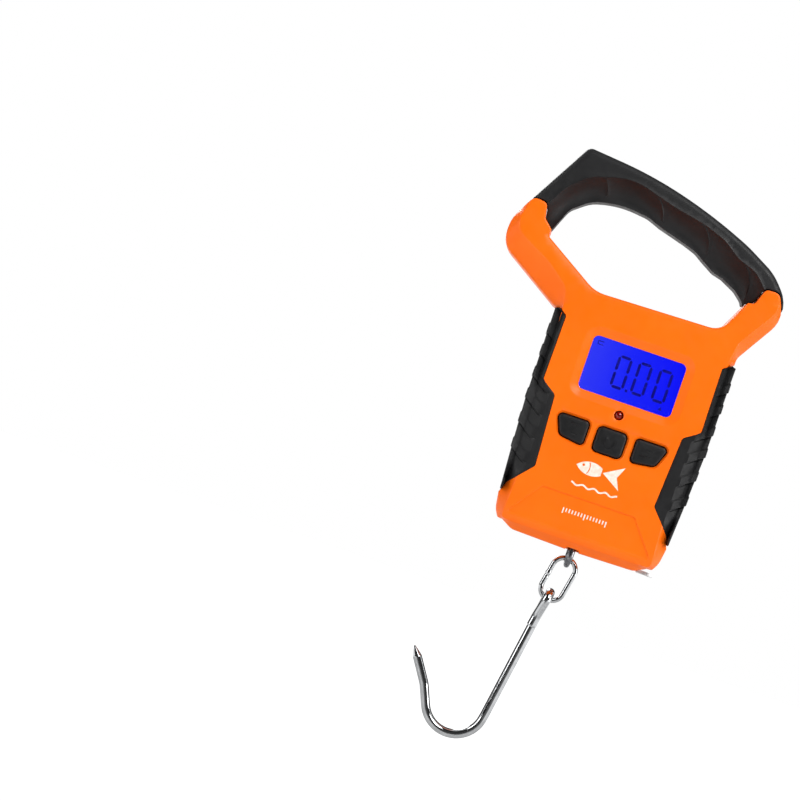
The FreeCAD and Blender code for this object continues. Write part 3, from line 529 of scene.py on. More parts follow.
class Shading:
    """A node tree, with calls that add a node and return its output."""

    def __init__(self, tree):
        self.nodes = tree.nodes
        self.links = tree.links
        coordinates = self.nodes.new("ShaderNodeTexCoord")
        self.place = coordinates.outputs["Object"]
        self.direction = coordinates.outputs["Generated"]

    def node(self, kind, source, output, **inputs):
        """A node fed with source, into the input that takes it, and set by the other values."""
        node = self.nodes.new("ShaderNode" + kind)
        for key, value in inputs.items():
            node.inputs[key.replace("_", " ")].default_value = value
        entry = {"MapRange": "Value", "ValToRGB": "Fac", "Bump": "Height"}.get(kind, "Vector")
        self.links.new(source, node.inputs[entry])
        return node.outputs[output]

    def axis(self, name, source=None):
        return self.node("SeparateXYZ", self.place if source is None else source, name)

    def noise(self, scale, detail=3.0):
        return self.node("TexNoise", self.place, "Fac", Scale=scale, Detail=detail, Roughness=0.55)

    def spread(self, value, start, end, low=0.0, high=1.0):
        return self.node("MapRange", value, "Result", From_Min=start, From_Max=end, To_Min=low, To_Max=high)

    def ramp(self, value, stops, interpolation="LINEAR"):
        color = self.node("ValToRGB", value, "Color")
        band = color.node.color_ramp
        band.interpolation = interpolation
        while len(band.elements) < len(stops):
            band.elements.new(0.5)
        for element, (place, tone) in zip(band.elements, stops):
            element.position = place
            element.color = tone
        return color

    def math(self, operation, *values):
        node = self.nodes.new("ShaderNodeMath")
        node.operation = operation
        for socket, value in zip(node.inputs, values):
            if isinstance(value, float):
                socket.default_value = value
            else:
                self.links.new(value, socket)
        return node.outputs["Value"]

    def vector_math(self, operation, output):
        node = self.nodes.new("ShaderNodeVectorMath")
        node.operation = operation
        self.links.new(self.place, node.inputs[0])
        return node.outputs[output]


class Finish(Shading):
    """A principled material with a few shared procedural touches."""

    def __init__(self, name, metallic=0.0, **inputs):
        self.material = bpy.data.materials.new(name)
        self.material.use_nodes = True
        super().__init__(self.material.node_tree)
        self.shader = self.nodes["Principled BSDF"]
        self.set(Metallic=metallic, **inputs)

    def set(self, **inputs):
        for key, value in inputs.items():
            self.shader.inputs[key.replace("_", " ")].default_value = value

    def feed(self, key, source):
        self.links.new(source, self.shader.inputs[key])

    def tint(self, scale, dark, light):
        """Base colour that drifts between two tones."""
        self.set(Base_Color=light)
        self.feed("Base Color", self.ramp(self.noise(scale), [(0.35, dark), (0.65, light)]))

    def uneven(self, scale, low, high):
        """Roughness that varies from place to place."""
        self.set(Roughness=(low + high) / 2)
        self.feed("Roughness", self.spread(self.noise(scale), 0.3, 0.7, low, high))

    def grain(self, scale, depth, detail=2.0):
        """Fine surface texture; depth in metres."""
        height = self.noise(scale, detail)
        self.feed("Normal", self.node("Bump", height, "Normal", Strength=1.0, Distance=depth))


def finished(name, tint, uneven, grain=None, **inputs):
    """Material from (scale, dark, light), (scale, low, high) and (scale, depth, detail)."""
    finish = Finish(name, **inputs)
    if tint:
        finish.tint(*tint)
    finish.uneven(*uneven)
    if grain:
        finish.grain(*grain)
    return finish.material


def metal(name, dark, light, roughness):
    return finished(name, (500, dark, light), (1500, roughness - 0.08, roughness + 0.08), (3000, 0.000006),
                    metallic=1.0)


def moulded(name, dark, light):
    return finished(name, (150, linear(*dark), linear(*light)), (600, 0.43, 0.57), (2500, 0.000012))


def along_axis(name, key, share, stops, uneven, **inputs):
    """Material whose colour, in the socket called key, changes with its place along an axis."""
    finish = Finish(name, **inputs)
    finish.feed(key, finish.ramp(share(finish), stops))
    finish.uneven(*uneven)
    return finish.material


def tape_strokes(finish):
    """Distance along the blade to the nearest whole millimetre pair, from 0 to 1."""
    return finish.math("MULTIPLY", finish.math("PINGPONG", finish.axis("Z"), MM), 1 / MM)


CELL_HALF = 22.0                      # of the span that the battery film's colours are laid over
ORANGE = finished("orange_abs", (45, linear(255, 107, 6), linear(255, 111, 10)), (220, 0.28, 0.42),
                  (2600, 0.000012), Specular_IOR_Level=0.24)
RUBBER = finished("black_rubber", (60, linear(23, 23, 24), linear(29, 29, 30)), (350, 0.42, 0.58),
                  (3800, 0.00003, 4.0), Specular_IOR_Level=0.3)
KEY = finished("key_rubber", (160, linear(19, 19, 20), linear(25, 25, 26)), (500, 0.36, 0.52),
               (3200, 0.000016, 3.0), Specular_IOR_Level=0.35)
STEEL = finished("bright_steel", (300, (0.47, 0.48, 0.49, 1), (0.57, 0.58, 0.59, 1)), (900, 0.04, 0.12),
                 (700, 0.00001), metallic=1.0)
ZINC = metal("zinc_plate", (0.42, 0.43, 0.44, 1), (0.62, 0.63, 0.64, 1), 0.32)
NICKEL = metal("nickel_plate", (0.55, 0.53, 0.49, 1), (0.72, 0.7, 0.65, 1), 0.22)
ALUMINIUM = metal("machined_aluminium", (0.6, 0.61, 0.62, 1), (0.8, 0.81, 0.82, 1), 0.35)
DARK_STEEL = metal("oiled_steel", (0.14, 0.14, 0.15, 1), (0.26, 0.26, 0.27, 1), 0.16)
SATIN = metal("satin_plate", grey(0.72), grey(0.85), 0.5)
BLUED = metal("blued_spring", (0.05, 0.07, 0.12, 1), (0.16, 0.18, 0.24, 1), 0.3)
BLACK = moulded("black_moulding", (26, 26, 28), (36, 36, 38))
WHITE = moulded("white_moulding", (214, 214, 208), (230, 230, 224))
GLASS = finished("clear_lens", None, (120, 0.01, 0.035), Base_Color=grey(1), Transmission_Weight=1.0,
                 IOR=1.2)
# Dark blue digit ink whose emission is painted backlight: the digits glow to stand in for the display's
# light shining through them.
INK_WITH_PAINTED_BACKLIGHT = finished("digit_ink_painted_backlight", (300, linear(6, 6, 78), linear(12, 12, 104)), (200, 0.4, 0.6),
               Specular_IOR_Level=0.05, Emission_Color=linear(10, 10, 112), Emission_Strength=0.8)
PRINT = finished("white_print", (900, linear(255, 214, 196), linear(255, 236, 224)), (700, 0.42, 0.6))
RED = finished("red_lens", (900, linear(80, 2, 2), linear(150, 8, 6)), (900, 0.08, 0.18),
               Specular_IOR_Level=0.7)
GREEN = finished("board_green", (700, linear(10, 74, 40), linear(24, 104, 60)), (900, 0.3, 0.5))
LIT = along_axis("lit_panel", "Emission Color",
                 lambda finish: finish.spread(finish.axis("X"), WINDOW_X[0] * MM, WINDOW_X[1] * MM),
                 [(0.0, linear(48, 58, 252)), (0.45, linear(24, 36, 253)), (1.0, linear(10, 16, 252))],
                 (80, 0.35, 0.45), Base_Color=(0, 0, 0.01, 1), Specular_IOR_Level=0.05,
                 Emission_Strength=0.95)
BATTERY = along_axis("battery_wrap", "Base Color",
                     lambda finish: finish.spread(finish.axis("X"), -CELL_HALF * MM, CELL_HALF * MM),
                     [(0.0, linear(196, 120, 60)), (0.27, linear(200, 126, 64)),
                      (0.275, linear(34, 34, 38)), (1.0, linear(26, 26, 30))], (400, 0.24, 0.36))
TAPE = along_axis("tape_paint", "Base Color", tape_strokes,
                  [(0.0, linear(20, 20, 20)), (0.16, linear(20, 20, 20)), (0.2, linear(238, 196, 40)),
                   (1.0, linear(240, 200, 46))], (500, 0.3, 0.42))


# ---- housing ----
SHELL_OUTER = SIDE_LEFT + [(0.0, BOTTOM, 120)] + SIDE_RIGHT
SHELL_LOOP = SHELL_OUTER + SHELL_INNER
OUTER_PATH = rounded(SHELL_OUTER, closed=False)
INNER_PATH = rounded([SHELL_OUTER[-1]] + SHELL_INNER + [SHELL_OUTER[0]], closed=False)
RIDGE_PATH = rounded(RIDGE, closed=False)
BEVEL_BAND = np.concatenate((OUTER_PATH, RIDGE_PATH[::-1]))

# notch in the middle of the bottom edge, where the load loop comes out
NOTCH_HALF, NOTCH_TOP, NOTCH_FOOT = 3.2, -142.5, BOTTOM + 0.15
NOTCH = [(-NOTCH_HALF, NOTCH_FOOT, 0), (-NOTCH_HALF, NOTCH_TOP, 1.5),
         (NOTCH_HALF, NOTCH_TOP, 1.5), (NOTCH_HALF, NOTCH_FOOT, 0)]
FRONT_LOOP = SIDE_LEFT + NOTCH + SIDE_RIGHT + SHELL_INNER

GRIP_EDGE_RIGHT = rounded(SIDE_GRIP_EDGE, closed=False)
GRIP_BED_RIGHT = rounded(SIDE_GRIP_EDGE + [(60.0, -131.2, 0), (60.0, -51.6, 0)])
GRIP_BED_LEFT = GRIP_BED_RIGHT * (-1, 1)
BED_DEPTH = 1.5

WINDOW = rectangle(WINDOW_X, WINDOW_Z, 2.3)
BEZEL_INNER = grown(WINDOW, 0.8)
BEZEL_OUTER = grown(WINDOW, 3.7)
KEYS = [MODE_KEY, POWER_KEY, UNIT_KEY]
WELL_GAP, WELL_RIM = 0.45, 1.3
LED_HOLE = circle(LED_X, LED_Z, 1.95)
PANEL_STEP = 0.55                     # depth of the lower panel, and the width of its edge

# slots in the bottom wall: x low, x high, height above the parting plane
TAPE_SLOT = (BLADE_LOW[0] - 0.8, BLADE_LOW[0] + 1.5, BLADE_HIGH[1] + 0.9)
FRONT_SLOTS = [(-NOTCH_HALF, NOTCH_HALF, 9.4), TAPE_SLOT]
REAR_SLOTS = [(-NOTCH_HALF, NOTCH_HALF, 6.4), TAPE_SLOT]
SLOT_STEP = 0.02                      # between the two heights at a slot's side
SLOT_END = -130.0                     # the slots lie below this height


def ease(share, bend=0.1):
    """A ramp from 0 to 1 with a rounded start."""
    curved = np.where(share < bend, share ** 2 / (2 * bend), share - bend / 2)
    return curved / (1 - bend / 2)


def face_level(points):
    """Height of the flat face: lower towards the handle and over the bottom edge."""
    z = points[:, 1]
    towards_handle = 1.2 * smooth(z, -44.0, -18.0)
    over_bottom = 1.5 * np.clip((-133.0 - z) / 7.0, 0, 1.2) ** 2
    return CREST - towards_handle - over_bottom


def shell_level(points):
    """Height of a shell without its features: face, outer bevel and rounded rims."""
    face = face_level(points)
    outer, inner = off_line(points, OUTER_PATH), off_line(points, INNER_PATH)
    ridge = off_line(points, RIDGE_PATH)
    share = np.where(within(points, BEVEL_BAND), ridge / (ridge + outer + 1e-9), 0.0)
    level = face - (face - RIM) * ease(share)
    opening = (points[:, 0] > -52) & (points[:, 0] < 34) & (points[:, 1] < -24)
    level = level - np.where(opening, fillet(inner, 1.5), fillet(inner, 0.8))
    return level - fillet(outer, 0.9)


def bedded(points, level):
    """The level, sunk where the side grips lie."""
    bed = within(points, GRIP_BED_RIGHT) | within(points, GRIP_BED_LEFT)
    return np.where(bed, level - BED_DEPTH, level)


def front_level(points):
    level = shell_level(points)
    down = -points[:, 1]
    # sloped surround of the display
    outer, inner = rounded(BEZEL_OUTER), rounded(BEZEL_INNER)
    to_outer, to_inner = gap(points, outer), gap(points, inner)
    slope = np.where(within(points, outer), to_outer / (to_outer + to_inner + 1e-9), 0.0)
    level = level - BEZEL_DEPTH * np.where(within(points, inner), 1.0, slope)
    # shallow shelf that carries the keys
    shelf = smooth(down, 89.9, 90.4) * (1 - smooth(down, 92, 102))
    level = level - 0.28 * shelf * (1 - smooth(np.abs(points[:, 0]), 22.2, 24.5))
    # lower panel, sunk behind a soft step
    panel = rounded(LOWER_PANEL)
    depth = np.where(within(points, panel), gap(points, panel), 0.0)
    level = level - PANEL_STEP * smooth(depth, 0.0, PANEL_STEP) * (1 - smooth(down, 134, 139))
    # bevelled rims of the key wells and of the lamp's hole
    for well in KEYS:
        d = gap(points, rounded(grown(well, WELL_GAP)))
        level = level - 0.75 * (1 - smooth(d, 0, WELL_RIM - WELL_GAP))
    level = level - 0.4 * (1 - smooth(gap(points, rounded(LED_HOLE)), 0, 0.6))
    return bedded(points, level)


def slotted(loop, slots):
    """A loop with points added at both sides of each slot, where it runs along the bottom."""
    sides = [x for low, high, _ in slots for x in (low, low + SLOT_STEP, high - SLOT_STEP, high)]
    result = []
    for a, b in zip(loop, np.roll(loop, -1, 0)):
        result.append(a)
        crossed = [x for x in sides if min(a[0], b[0]) + 1e-6 < x < max(a[0], b[0]) - 1e-6]
        if max(a[1], b[1]) < SLOT_END:
            for x in sorted(crossed, reverse=bool(a[0] > b[0])):
                result.append(a + (b - a) * (x - a[0]) / (b[0] - a[0]))
    return np.array(result)


def slot_level(points, slots):
    """Height of the wall's foot: the parting plane, or the side of a slot."""
    level = np.full(len(points), PARTING)
    for low, high, depth in slots:
        inside = (points[:, 0] > low + SLOT_STEP / 2) & (points[:, 0] < high - SLOT_STEP / 2)
        level[inside & (points[:, 1] < SLOT_END)] = depth
    return level


def add_edges(relief, loop, slots):
    """Lines that both shells have: rims, bevel ridge and the beds of the side grips."""
    border = slotted(rounded(loop), slots)
    relief.line(border, at=slot_level(border, slots))
    relief.line(inward(border, 0.14))
    relief.rings(loop, -0.32, -0.55, -0.95)
    opening = [c for c in grown(SHELL_LOOP, -1.55) if -52 < c[0] < 36 and -44 < c[1] < -22]
    relief.line(rounded(opening, closed=False), closed=False)
    relief.line(RIDGE_PATH, closed=False)
    for offset in (-0.5, -1.1):
        relief.line(shifted(RIDGE_PATH, offset), closed=False)
    for side in (1, -1):
        for offset in (-0.02, 0.04):
            relief.line(shifted(GRIP_EDGE_RIGHT * (side, 1), offset * side), closed=False)
    return border


def mould_inside(border, slots, holes, island=None):
    """Inner face of a shell: side wall up from the parting plane, then the flat inside."""
    room = grown([(-38.6, -43.6, 8), (38.6, -43.6, 8), (38.6, -88.0, 60), (36.2, -130.5, 30),
                  (33.6, -141.0, 4), (-33.6, -141.0, 4), (-36.2, -130.5, 30), (-38.6, -88.0, 60)], -3.6)
    outer, inner = slotted(rounded(room), slots), rounded(grown(room, -0.3))

    def height(points):
        level = np.where(within(points, inner), INSIDE, slot_level(points, slots))
        if island is not None:
            level = np.where(within(points, rounded(island)), PARTING, level)
        return level

    relief = Relief(height, 6.0)
    for path in (border, outer):
        relief.line(path, at=slot_level(path, slots))
    relief.line(inner, at=INSIDE)
    for low, high, depth in slots:
        for x, level in ((low, PARTING), (low + SLOT_STEP, depth),
                         (high - SLOT_STEP, depth), (high, PARTING)):
            ends = [min(p[1] for p in loop if abs(p[0] - x) < 1e-6) for loop in (border, outer)]
            relief.line(np.array([(x, z) for z in ends]), at=level, closed=False)
    if island is not None:
        relief.rings(island, 0.3, at=INSIDE)
        relief.rings(island, 0, at=PARTING)
    for hole in holes:
        relief.line(hole, at=INSIDE)
    return relief.surface(border, holes)


def front_shell():
    relief = Relief(front_level, 2.6)
    border = add_edges(relief, FRONT_LOOP, FRONT_SLOTS)
    relief.rings(BEZEL_OUTER, 0.35, 0, -0.5)
    relief.rings(BEZEL_INNER, 0.4, 0)
    face = CREST - BEZEL_DEPTH
    relief.rings(WINDOW, 0.3, at=face)
    relief.rings(WINDOW, 0.1, at=face - 0.1)
    holes = [rounded(WINDOW)]
    relief.line(holes[0], at=INSIDE)
    rims = (WELL_RIM + 0.25, WELL_RIM, WELL_RIM - 0.35, WELL_GAP + 0.25, WELL_GAP + 0.04)
    wells = [(well, WELL_GAP, rims, 0.8) for well in KEYS]
    for corners, margin, rims, step in wells + [(LED_HOLE, 0, (0.65, 0.35, 0.04), 0.4)]:
        relief.rings(corners, *rims, step=step)
        holes.append(rounded(grown(corners, margin), step=step))
        relief.line(holes[-1], at=INSIDE)
    for z in (-89.9, -90.15, -90.4):
        relief.line(level_row(z, 22.0, 30), closed=False)
    relief.rings(LOWER_PANEL, 0, -0.27, -PANEL_STEP)
    for z in (-134.5, -136.5, -138.3):
        relief.line(level_row(z, 30.5, 24), closed=False)
    moulding = joined(relief.surface(border, holes), mould_inside(border, FRONT_SLOTS, holes))
    make("front_shell_moulding", facing(moulding, -1), ORANGE, replaces=["front_shell"])


SCREWS = [(-29.5, -51.6), (29.5, -51.6), (-19.0, -134.0), (19.0, -134.0), (-58.6, -22.5), (42.6, -25.2)]
COUNTERBORE = 3.0
SCREW_SEAT = 8.0
BAY_END = 25.2                        # half the battery bay's length
BAY_FLOOR = 1.0
BAY = rectangle((-BAY_END, BAY_END), (-88.6, -63.4), 0.6)
COVER_BED = rectangle((COVER_LOW[0] - 0.4, COVER_HIGH[0] + 0.4), (COVER_LOW[2] - 0.4, -59.7), 1.6)
COVER_BED_LEVEL = CREST - 1.9


def rear_level(points):
    level = shell_level(points)
    level = np.where(within(points, rounded(COVER_BED)), COVER_BED_LEVEL, level)
    level = np.where(within(points, rounded(BAY)), BAY_FLOOR, level)
    for x, z in SCREWS:
        level = np.where(within(points, rounded(circle(x, z, COUNTERBORE))), SCREW_SEAT, level)
    return bedded(points, level)


def rear_shell():
    relief = Relief(rear_level, 3.2)
    border = add_edges(relief, SHELL_LOOP, REAR_SLOTS)
    relief.rings(COVER_BED, 0.35)
    relief.rings(COVER_BED, 0.12, drop=0.08)
    relief.rings(COVER_BED, 0, at=COVER_BED_LEVEL)
    relief.rings(BAY, 0.12, at=COVER_BED_LEVEL)
    relief.rings(BAY, 0, at=BAY_FLOOR)
    for x, z in SCREWS:
        for margin, heights in ((0.4, {}), (0.12, {"drop": 0.25}), (0, {"at": SCREW_SEAT})):
            relief.line(rounded(circle(x, z, COUNTERBORE + margin), step=0.5), **heights)
    moulding = joined(relief.surface(border), mould_inside(border, REAR_SLOTS, [], grown(BAY, 1.2)))
    make("rear_shell_moulding", moulding, ORANGE, replaces=["rear_shell"])


# ---- rubber ----
# ridges between the fingers: start on the crease, bulge, end on the opening
KNUCKLES = [
    ((-36.5, 5.4), (-33.6, 2.4), (-33.4, -2.7)), ((-15.8, 5.6), (-8.6, 2.2), (-8.8, -6.0)),
    ((6.6, 0.2), (13.6, -4.2), (12.8, -13.2)), ((28.0, -9.9), (34.0, -13.6), (33.0, -24.0)),
]
GRIP_DROP = 6.4                       # from the grip's front face to its inner edge
FINGER_DEPTH = 1.7


def bowed(start, middle, end, count=12):
    """Points on a curve that starts and ends at two points and bends towards a third."""
    t = np.linspace(0, 1, count)[:, None]
    return (1 - t) ** 2 * np.array(start) + 2 * t * (1 - t) * np.array(middle) + t ** 2 * np.array(end)


def handle_grip():
    outer, crease = rounded(GRIP_OUTER, closed=False), rounded(GRIP_CREASE, closed=False)
    loop = GRIP_OUTER + GRIP_INNER
    border = rounded(loop)
    opening = rounded([c for c in GRIP_INNER if c[1] > -27 and -51 < c[0] < 34], closed=False)
    ends = [rounded(GRIP_INNER[:5], closed=False), rounded(GRIP_INNER[-4:] + GRIP_OUTER[:1], closed=False)]
    front_face = np.concatenate((outer, crease[::-1]))
    ridges = [bowed(*knuckle) for knuckle in KNUCKLES]

    def height(points):
        to_outer, to_crease = off_line(points, outer), off_line(points, crease)
        to_opening = off_line(points, opening)
        to_end = np.min([off_line(points, end) for end in ends], axis=0)
        to_ridge = np.min([off_line(points, ridge) for ridge in ridges], axis=0)
        face = within(points, front_face)
        share = np.where(face, 0.0, to_crease / (to_crease + to_opening + 1e-9))
        crown = GRIP_CREST - 0.4 * smooth(to_crease, 0, 14) * face
        hollow = np.clip(to_ridge / 6.0, 0, 1) ** 0.6 * np.sin(math.pi * np.clip(share, 0, 1)) ** 0.7
        bead = 0.26 * np.clip(1 - to_crease / 0.5, 0, 1) + 0.2 * np.clip(1 - to_ridge / 0.45, 0, 1)
        level = crown - GRIP_DROP * (1 - (1 - share) ** 1.6) - FINGER_DEPTH * hollow + bead
        level -= fillet(to_outer, 2.4) + 0.35 * fillet(to_opening, 1.6)
        return level - fillet(to_end, 0.5)

    relief = Relief(height, 1.5)
    relief.line(border, at=0.0)
    relief.line(inward(border, 0.12))
    relief.rings(loop, -0.35, -0.7, -1.2, -1.8, -2.5)
    relief.line(crease, closed=False)
    for offset in (-0.5, 0.5):
        relief.line(shifted(crease, offset)[2:-2], closed=False)
    for ridge in ridges:
        for offset in (-0.45, 0, 0.45):
            relief.line(shifted(ridge, offset)[1:-2], closed=False)
    half = relief.surface(border)
    make("handle_grip_moulding", joined(facing(half, -1), half), RUBBER,
         replaces=["handle_grip"])


RIB_LINES = (-67.2, -76.2, -85.6, -94.9, -104.9, -115.3)
RIB_START = 31.3                      # distance from the centre line where the slant begins
RIB_SLANT = 0.66
# a rib from its lower edge upwards: groove, sharp step, slope back to the face
RIB_PROFILE = ((-0.65, 0.0), (-0.4, -0.5), (0.0, -0.5), (0.15, 1.0), (3.7, 0.8), (4.5, 0.0))
ROW_PITCH = 0.9
FLANK = ((-132.0, 36.2), (-130.0, 36.3), (-112.0, 37.45), (-95.0, 38.35), (-56.0, 38.75), (-50.0, 38.9))
GRIP_TOP = ((33.5, -53.2), (36.9, -51.1), (39.2, -51.8))
TOP_ROW, BEND_ROW = -54.7, -58.0      # between these the rows bend towards the top end


def rib(row):
    """Share of a rib's rise at a row."""
    offsets, shares = np.array(RIB_PROFILE).T
    return sum(float(np.interp(row - start, offsets, shares, left=0, right=0)) for start in RIB_LINES)


def side_rows():
    """Heights of the rows, with one on every edge of every rib."""
    marks = [start + offset for start in RIB_LINES for offset, _ in RIB_PROFILE]
    rows = list(np.linspace(TOP_ROW, BEND_ROW, 6)) + marks
    filler = np.arange(BEND_ROW - ROW_PITCH, -134.0, -ROW_PITCH)
    rows += [z for z in filler if min(abs(z - m) for m in marks) > 0.35]
    return sorted(rows, reverse=True)


def side_grip(name, side, node, ridge, brow, lift):
    """Grid of rows that slant past the ridge; ridge and brow are the two creases along it."""
    edge = shifted(GRIP_EDGE_RIGHT, -0.14)
    edge = edge[edge[:, 0] < 37.2]
    edge_row = edge[:, 1] - RIB_SLANT * np.maximum(edge[:, 0] - RIB_START, 0)
    order = np.argsort(edge_row)
    flank_row, flank_x = np.array(FLANK).T
    rows = []
    for row in side_rows():
        start = float(np.interp(row, edge_row[order], edge[order, 0]))
        end = float(np.interp(row, flank_row, flank_x)) + 0.4 * max(rib(row), 0.0)
        if end - start < 0.3:
            break
        part = min(1.0, (end - start) / 3.6)
        inner = max(ridge, start + 1.2 * part)
        brow_here = float(np.interp(row, (-88.0, -83.0), (brow, 36.0)))
        outer = min(max(brow_here, inner + 0.9 * part), end - 0.8 * part)
        inner = min(inner, outer - 0.4 * part)
        xs = np.concatenate(([start, start, start + 0.12 * part, start + 0.4 * part],
                             np.linspace(start + 0.8 * part, inner, 6), np.linspace(inner, outer, 6)[1:],
                             [end - 0.35 * part, end - 0.1 * part, end, end]))
        slant = RIB_SLANT * np.maximum(xs - RIB_START, 0)
        zs = row + slant
        if row > BEND_ROW:
            share = (row - BEND_ROW) / (TOP_ROW - BEND_ROW)
            base = BEND_ROW + slant
            zs = base + (np.interp(xs, *np.array(GRIP_TOP).T) - base) * share
        low_end = float(smooth(np.array(-row), 118.0, 126.0))
        face = np.interp(xs, (start, inner, outer, end),
                         (CREST - 0.05, CREST + 0.15, CREST - 2.4, RIM + 0.5))
        shell = shell_level(np.stack((xs, zs), 1)) + 0.25
        face = np.maximum(face, shell - 1.0)
        face = face * (1 - low_end) + np.minimum(face, shell) * low_end
        raised = face + lift * rib(row) * np.clip((xs - inner) / 0.25, 0, 1)
        border = np.minimum(np.minimum(xs - start, end - xs), max(0.0, TOP_ROW - row) + 0.12)
        level = raised - fillet(np.clip(border, 0, 1), 0.8)
        level[0] = level[-1] = 0.0
        rows.append(np.stack((xs, level, zs), 1))
    rows = [rows[0] * (1, 0, 1)] + rows + [rows[-1] * (1, 0, 1)]
    half = (np.concatenate(rows) * (side, 1, 1), quads(len(rows), len(rows[0]), wrapped=False))
    make(name, joined(facing(half, -1), half), RUBBER, replaces=[node], crease=24)


# ---- display and lamp ----
SEGMENT = 1.12                        # width of a digit's bar
DIGIT_TOP, DIGIT_BOTTOM, DIGIT_WIDTH = -61.2, -75.0, 6.0
DIGITS_X = (-7.7, 1.0, 9.9)


def segment(start, end, width):
    """Bar with pointed ends, as on a liquid crystal display."""
    start, end = np.array(start, float), np.array(end, float)
    along = (end - start) / np.hypot(*(end - start)) * width / 2
    across = np.array((-along[1], along[0]))
    return np.array([start - along * 0.4, start + along * 0.6 + across, end - along * 0.6 + across,
                     end + along * 0.4, end - along * 0.6 - across, start + along * 0.6 - across])


def digit_zero(x):
    """The six bars of a nought whose left edge is at x."""
    half, clear = SEGMENT / 2, 0.5
    left, right = x + half, x + DIGIT_WIDTH - half
    top, bottom = DIGIT_TOP - half, DIGIT_BOTTOM + half
    middle = (top + bottom) / 2
    bars = [((left + clear, z), (right - clear, z)) for z in (top, bottom)]
    for side in (left, right):
        bars.append(((side, top - clear), (side, middle + clear)))
        bars.append(((side, middle - clear), (side, bottom + clear)))
    return [segment(a, b, SEGMENT) for a, b in bars]


def display():
    """Digits 0.00, a small triangle and a bracket on the glass, behind the window."""
    bars = [bar for x in DIGITS_X for bar in digit_zero(x)]
    bars.append(rounded(rectangle((-0.9, 0.1), (DIGIT_BOTTOM, DIGIT_BOTTOM + 1.0), 0.2)))
    signs = [np.array([(14.2, -77.6), (15.0, -76.2), (15.8, -77.6)])]
    for path in ([(-17.6, -58.6), (-15.2, -58.6)], [(-17.6, -59.9), (-15.2, -59.9)],
                 [(-17.5, -58.7), (-17.5, -59.8)]):
        signs.append(stroke(path, 0.3))
    for name, loops in (("display_digits", bars), ("display_marks", signs)):
        inked = joined(*[plate(loop, GLASS_FRONT + 0.14, GLASS_FRONT + 0.01) for loop in loops])
        # the digits and marks glow blue with painted backlight
        make(name, facing(inked, -1), INK_WITH_PAINTED_BACKLIGHT)
    lens = pad(WINDOW, CREST - BEZEL_DEPTH, GLASS_FRONT + 0.25, edge=0.25, spacing=4)
    make("display_window", facing(lens, -1), GLASS, replaces=["display_lens"])


def lamp():
    radius, flange = 1.72, 2.1
    dome = [(radius * math.sin(a), LED_LOW[1] + radius * 0.8 * (1 - math.cos(a)))
            for a in np.radians(np.linspace(0.5, 90, 10))]
    profile = dome + [(radius, -10.4), (flange, -10.3), (flange, -9.6), (0.3, -9.6)]
    make("led_lamp", turned(profile, (LED_X, LED_Z)), RED, replaces=["led_indicator"])


# ---- keys ----
def key(name, node, body, corners, marks):
    cap = pad(corners, CREST + 0.7, INSIDE - 0.3, edge=0.75, crown=0.2, spacing=0.9, marks=marks, rise=0.28)
    flange = pad(grown(corners, 0.9), INSIDE - 0.35, INSIDE - 1.15, edge=0.15, spacing=3)
    make(name, facing(joined(cap, flange), -1), KEY, body=body, replaces=[node])


def keys():
    """Three keys with raised signs: stacked bars, a power sign and two opposed arrows."""
    x, z = -15.3, -96.2
    bars = [stroke([(x - 2.4 + 0.5 * k, z + 2.0 - 2.0 * k), (x + 2.4, z + 2.0 - 2.0 * k)], 0.6)
            for k in range(3)]
    key("mode_key_cap", "button_mode", "mode_key", MODE_KEY, bars)
    z = -96.8
    power = [stroke(path, 0.55) for path in (arc_points(0.0, z, 2.1, 125, 415, 22),
                                             [(0.0, z + 0.4), (0.0, z + 2.9)])]
    key("power_key_cap", "button_power", "power_key", POWER_KEY, power)
    x, z = 15.6, -96.2
    swap = [stroke([(x - 2.3, z + s * 1.1), (x + 2.3, z + s * 1.1)], 0.5) for s in (1, -1)]
    swap += [stroke([(x + s * 1.3, z + s * 2.2), (x + s * 2.3, z + s * 1.45)], 0.5) for s in (1, -1)]
    key("unit_key_cap", "button_unit", "unit_key", UNIT_KEY, swap)


# ---- print on the face ----
def print_on_face():
    """A generic fish over a wave, and a row of ruler strokes in the lower panel."""
    body = np.concatenate((arc_points(-3.6, -114.9, 8.4, 138, 58, 16),
                           arc_points(-3.6, -103.7, 8.4, -58, -138, 16)))
    eye = arc_points(-7.0, -108.6, 0.55, 0, 330, 12)
    gill = stroke(arc_points(-8.6, -109.3, 4.4, 32, -32, 10), 0.4)
    tail = np.array([(1.4, -109.3), (9.6, -104.4), (7.4, -109.3), (9.6, -114.2)])
    x = np.linspace(-9.6, 10.0, 60)
    wave = np.stack((x, -117.0 + 0.45 * np.cos((x - 0.2) * math.pi / 2.45)), 1)
    pieces = [(body, 0, [eye, gill]), (tail, 0, []), (stroke(wave, 0.7), 0, [])]
    for i in range(15):
        x = -9.0 + i * 18.2 / 14
        low = -130.0 if i % 7 == 0 else -129.2
        pieces.append((stroke([(x, -127.6), (x, low)], 0.5), PANEL_STEP, []))
    inked = joined(*[plate(loop, CREST - sunk + 0.03, CREST - sunk - 0.05, holes)
                     for loop, sunk, holes in pieces])
    make("printed_fish", facing(inked, -1), PRINT)


# ---- steel ----
LOOP_WIRE = LOOP_HIGH[0]
LOOP_FOOT = LOOP_LOW[2] + LOOP_WIRE   # centre of the wire at the loop's lowest point
LINK_WIRE, LINK_REACH, LINK_LENGTH, LINK_TILT = 1.05, 4.85, 18.8, math.radians(11.0)
HOOK_WIRE, HOOK_TILT = 1.95, math.radians(10.2)
SLACK = 0.1
HOOK_EYE = 3.6                        # radius of the eye's fold
BEND_CENTRE, BEND_RADIUS = (-24.4, -219.1), 12.7
HOOK_RISE, RISE_LENGTH = math.radians(22.8), 9.0
HOOK_POINT, GRIND, TIP = (-48.4, -202.1), 4.6, 0.35


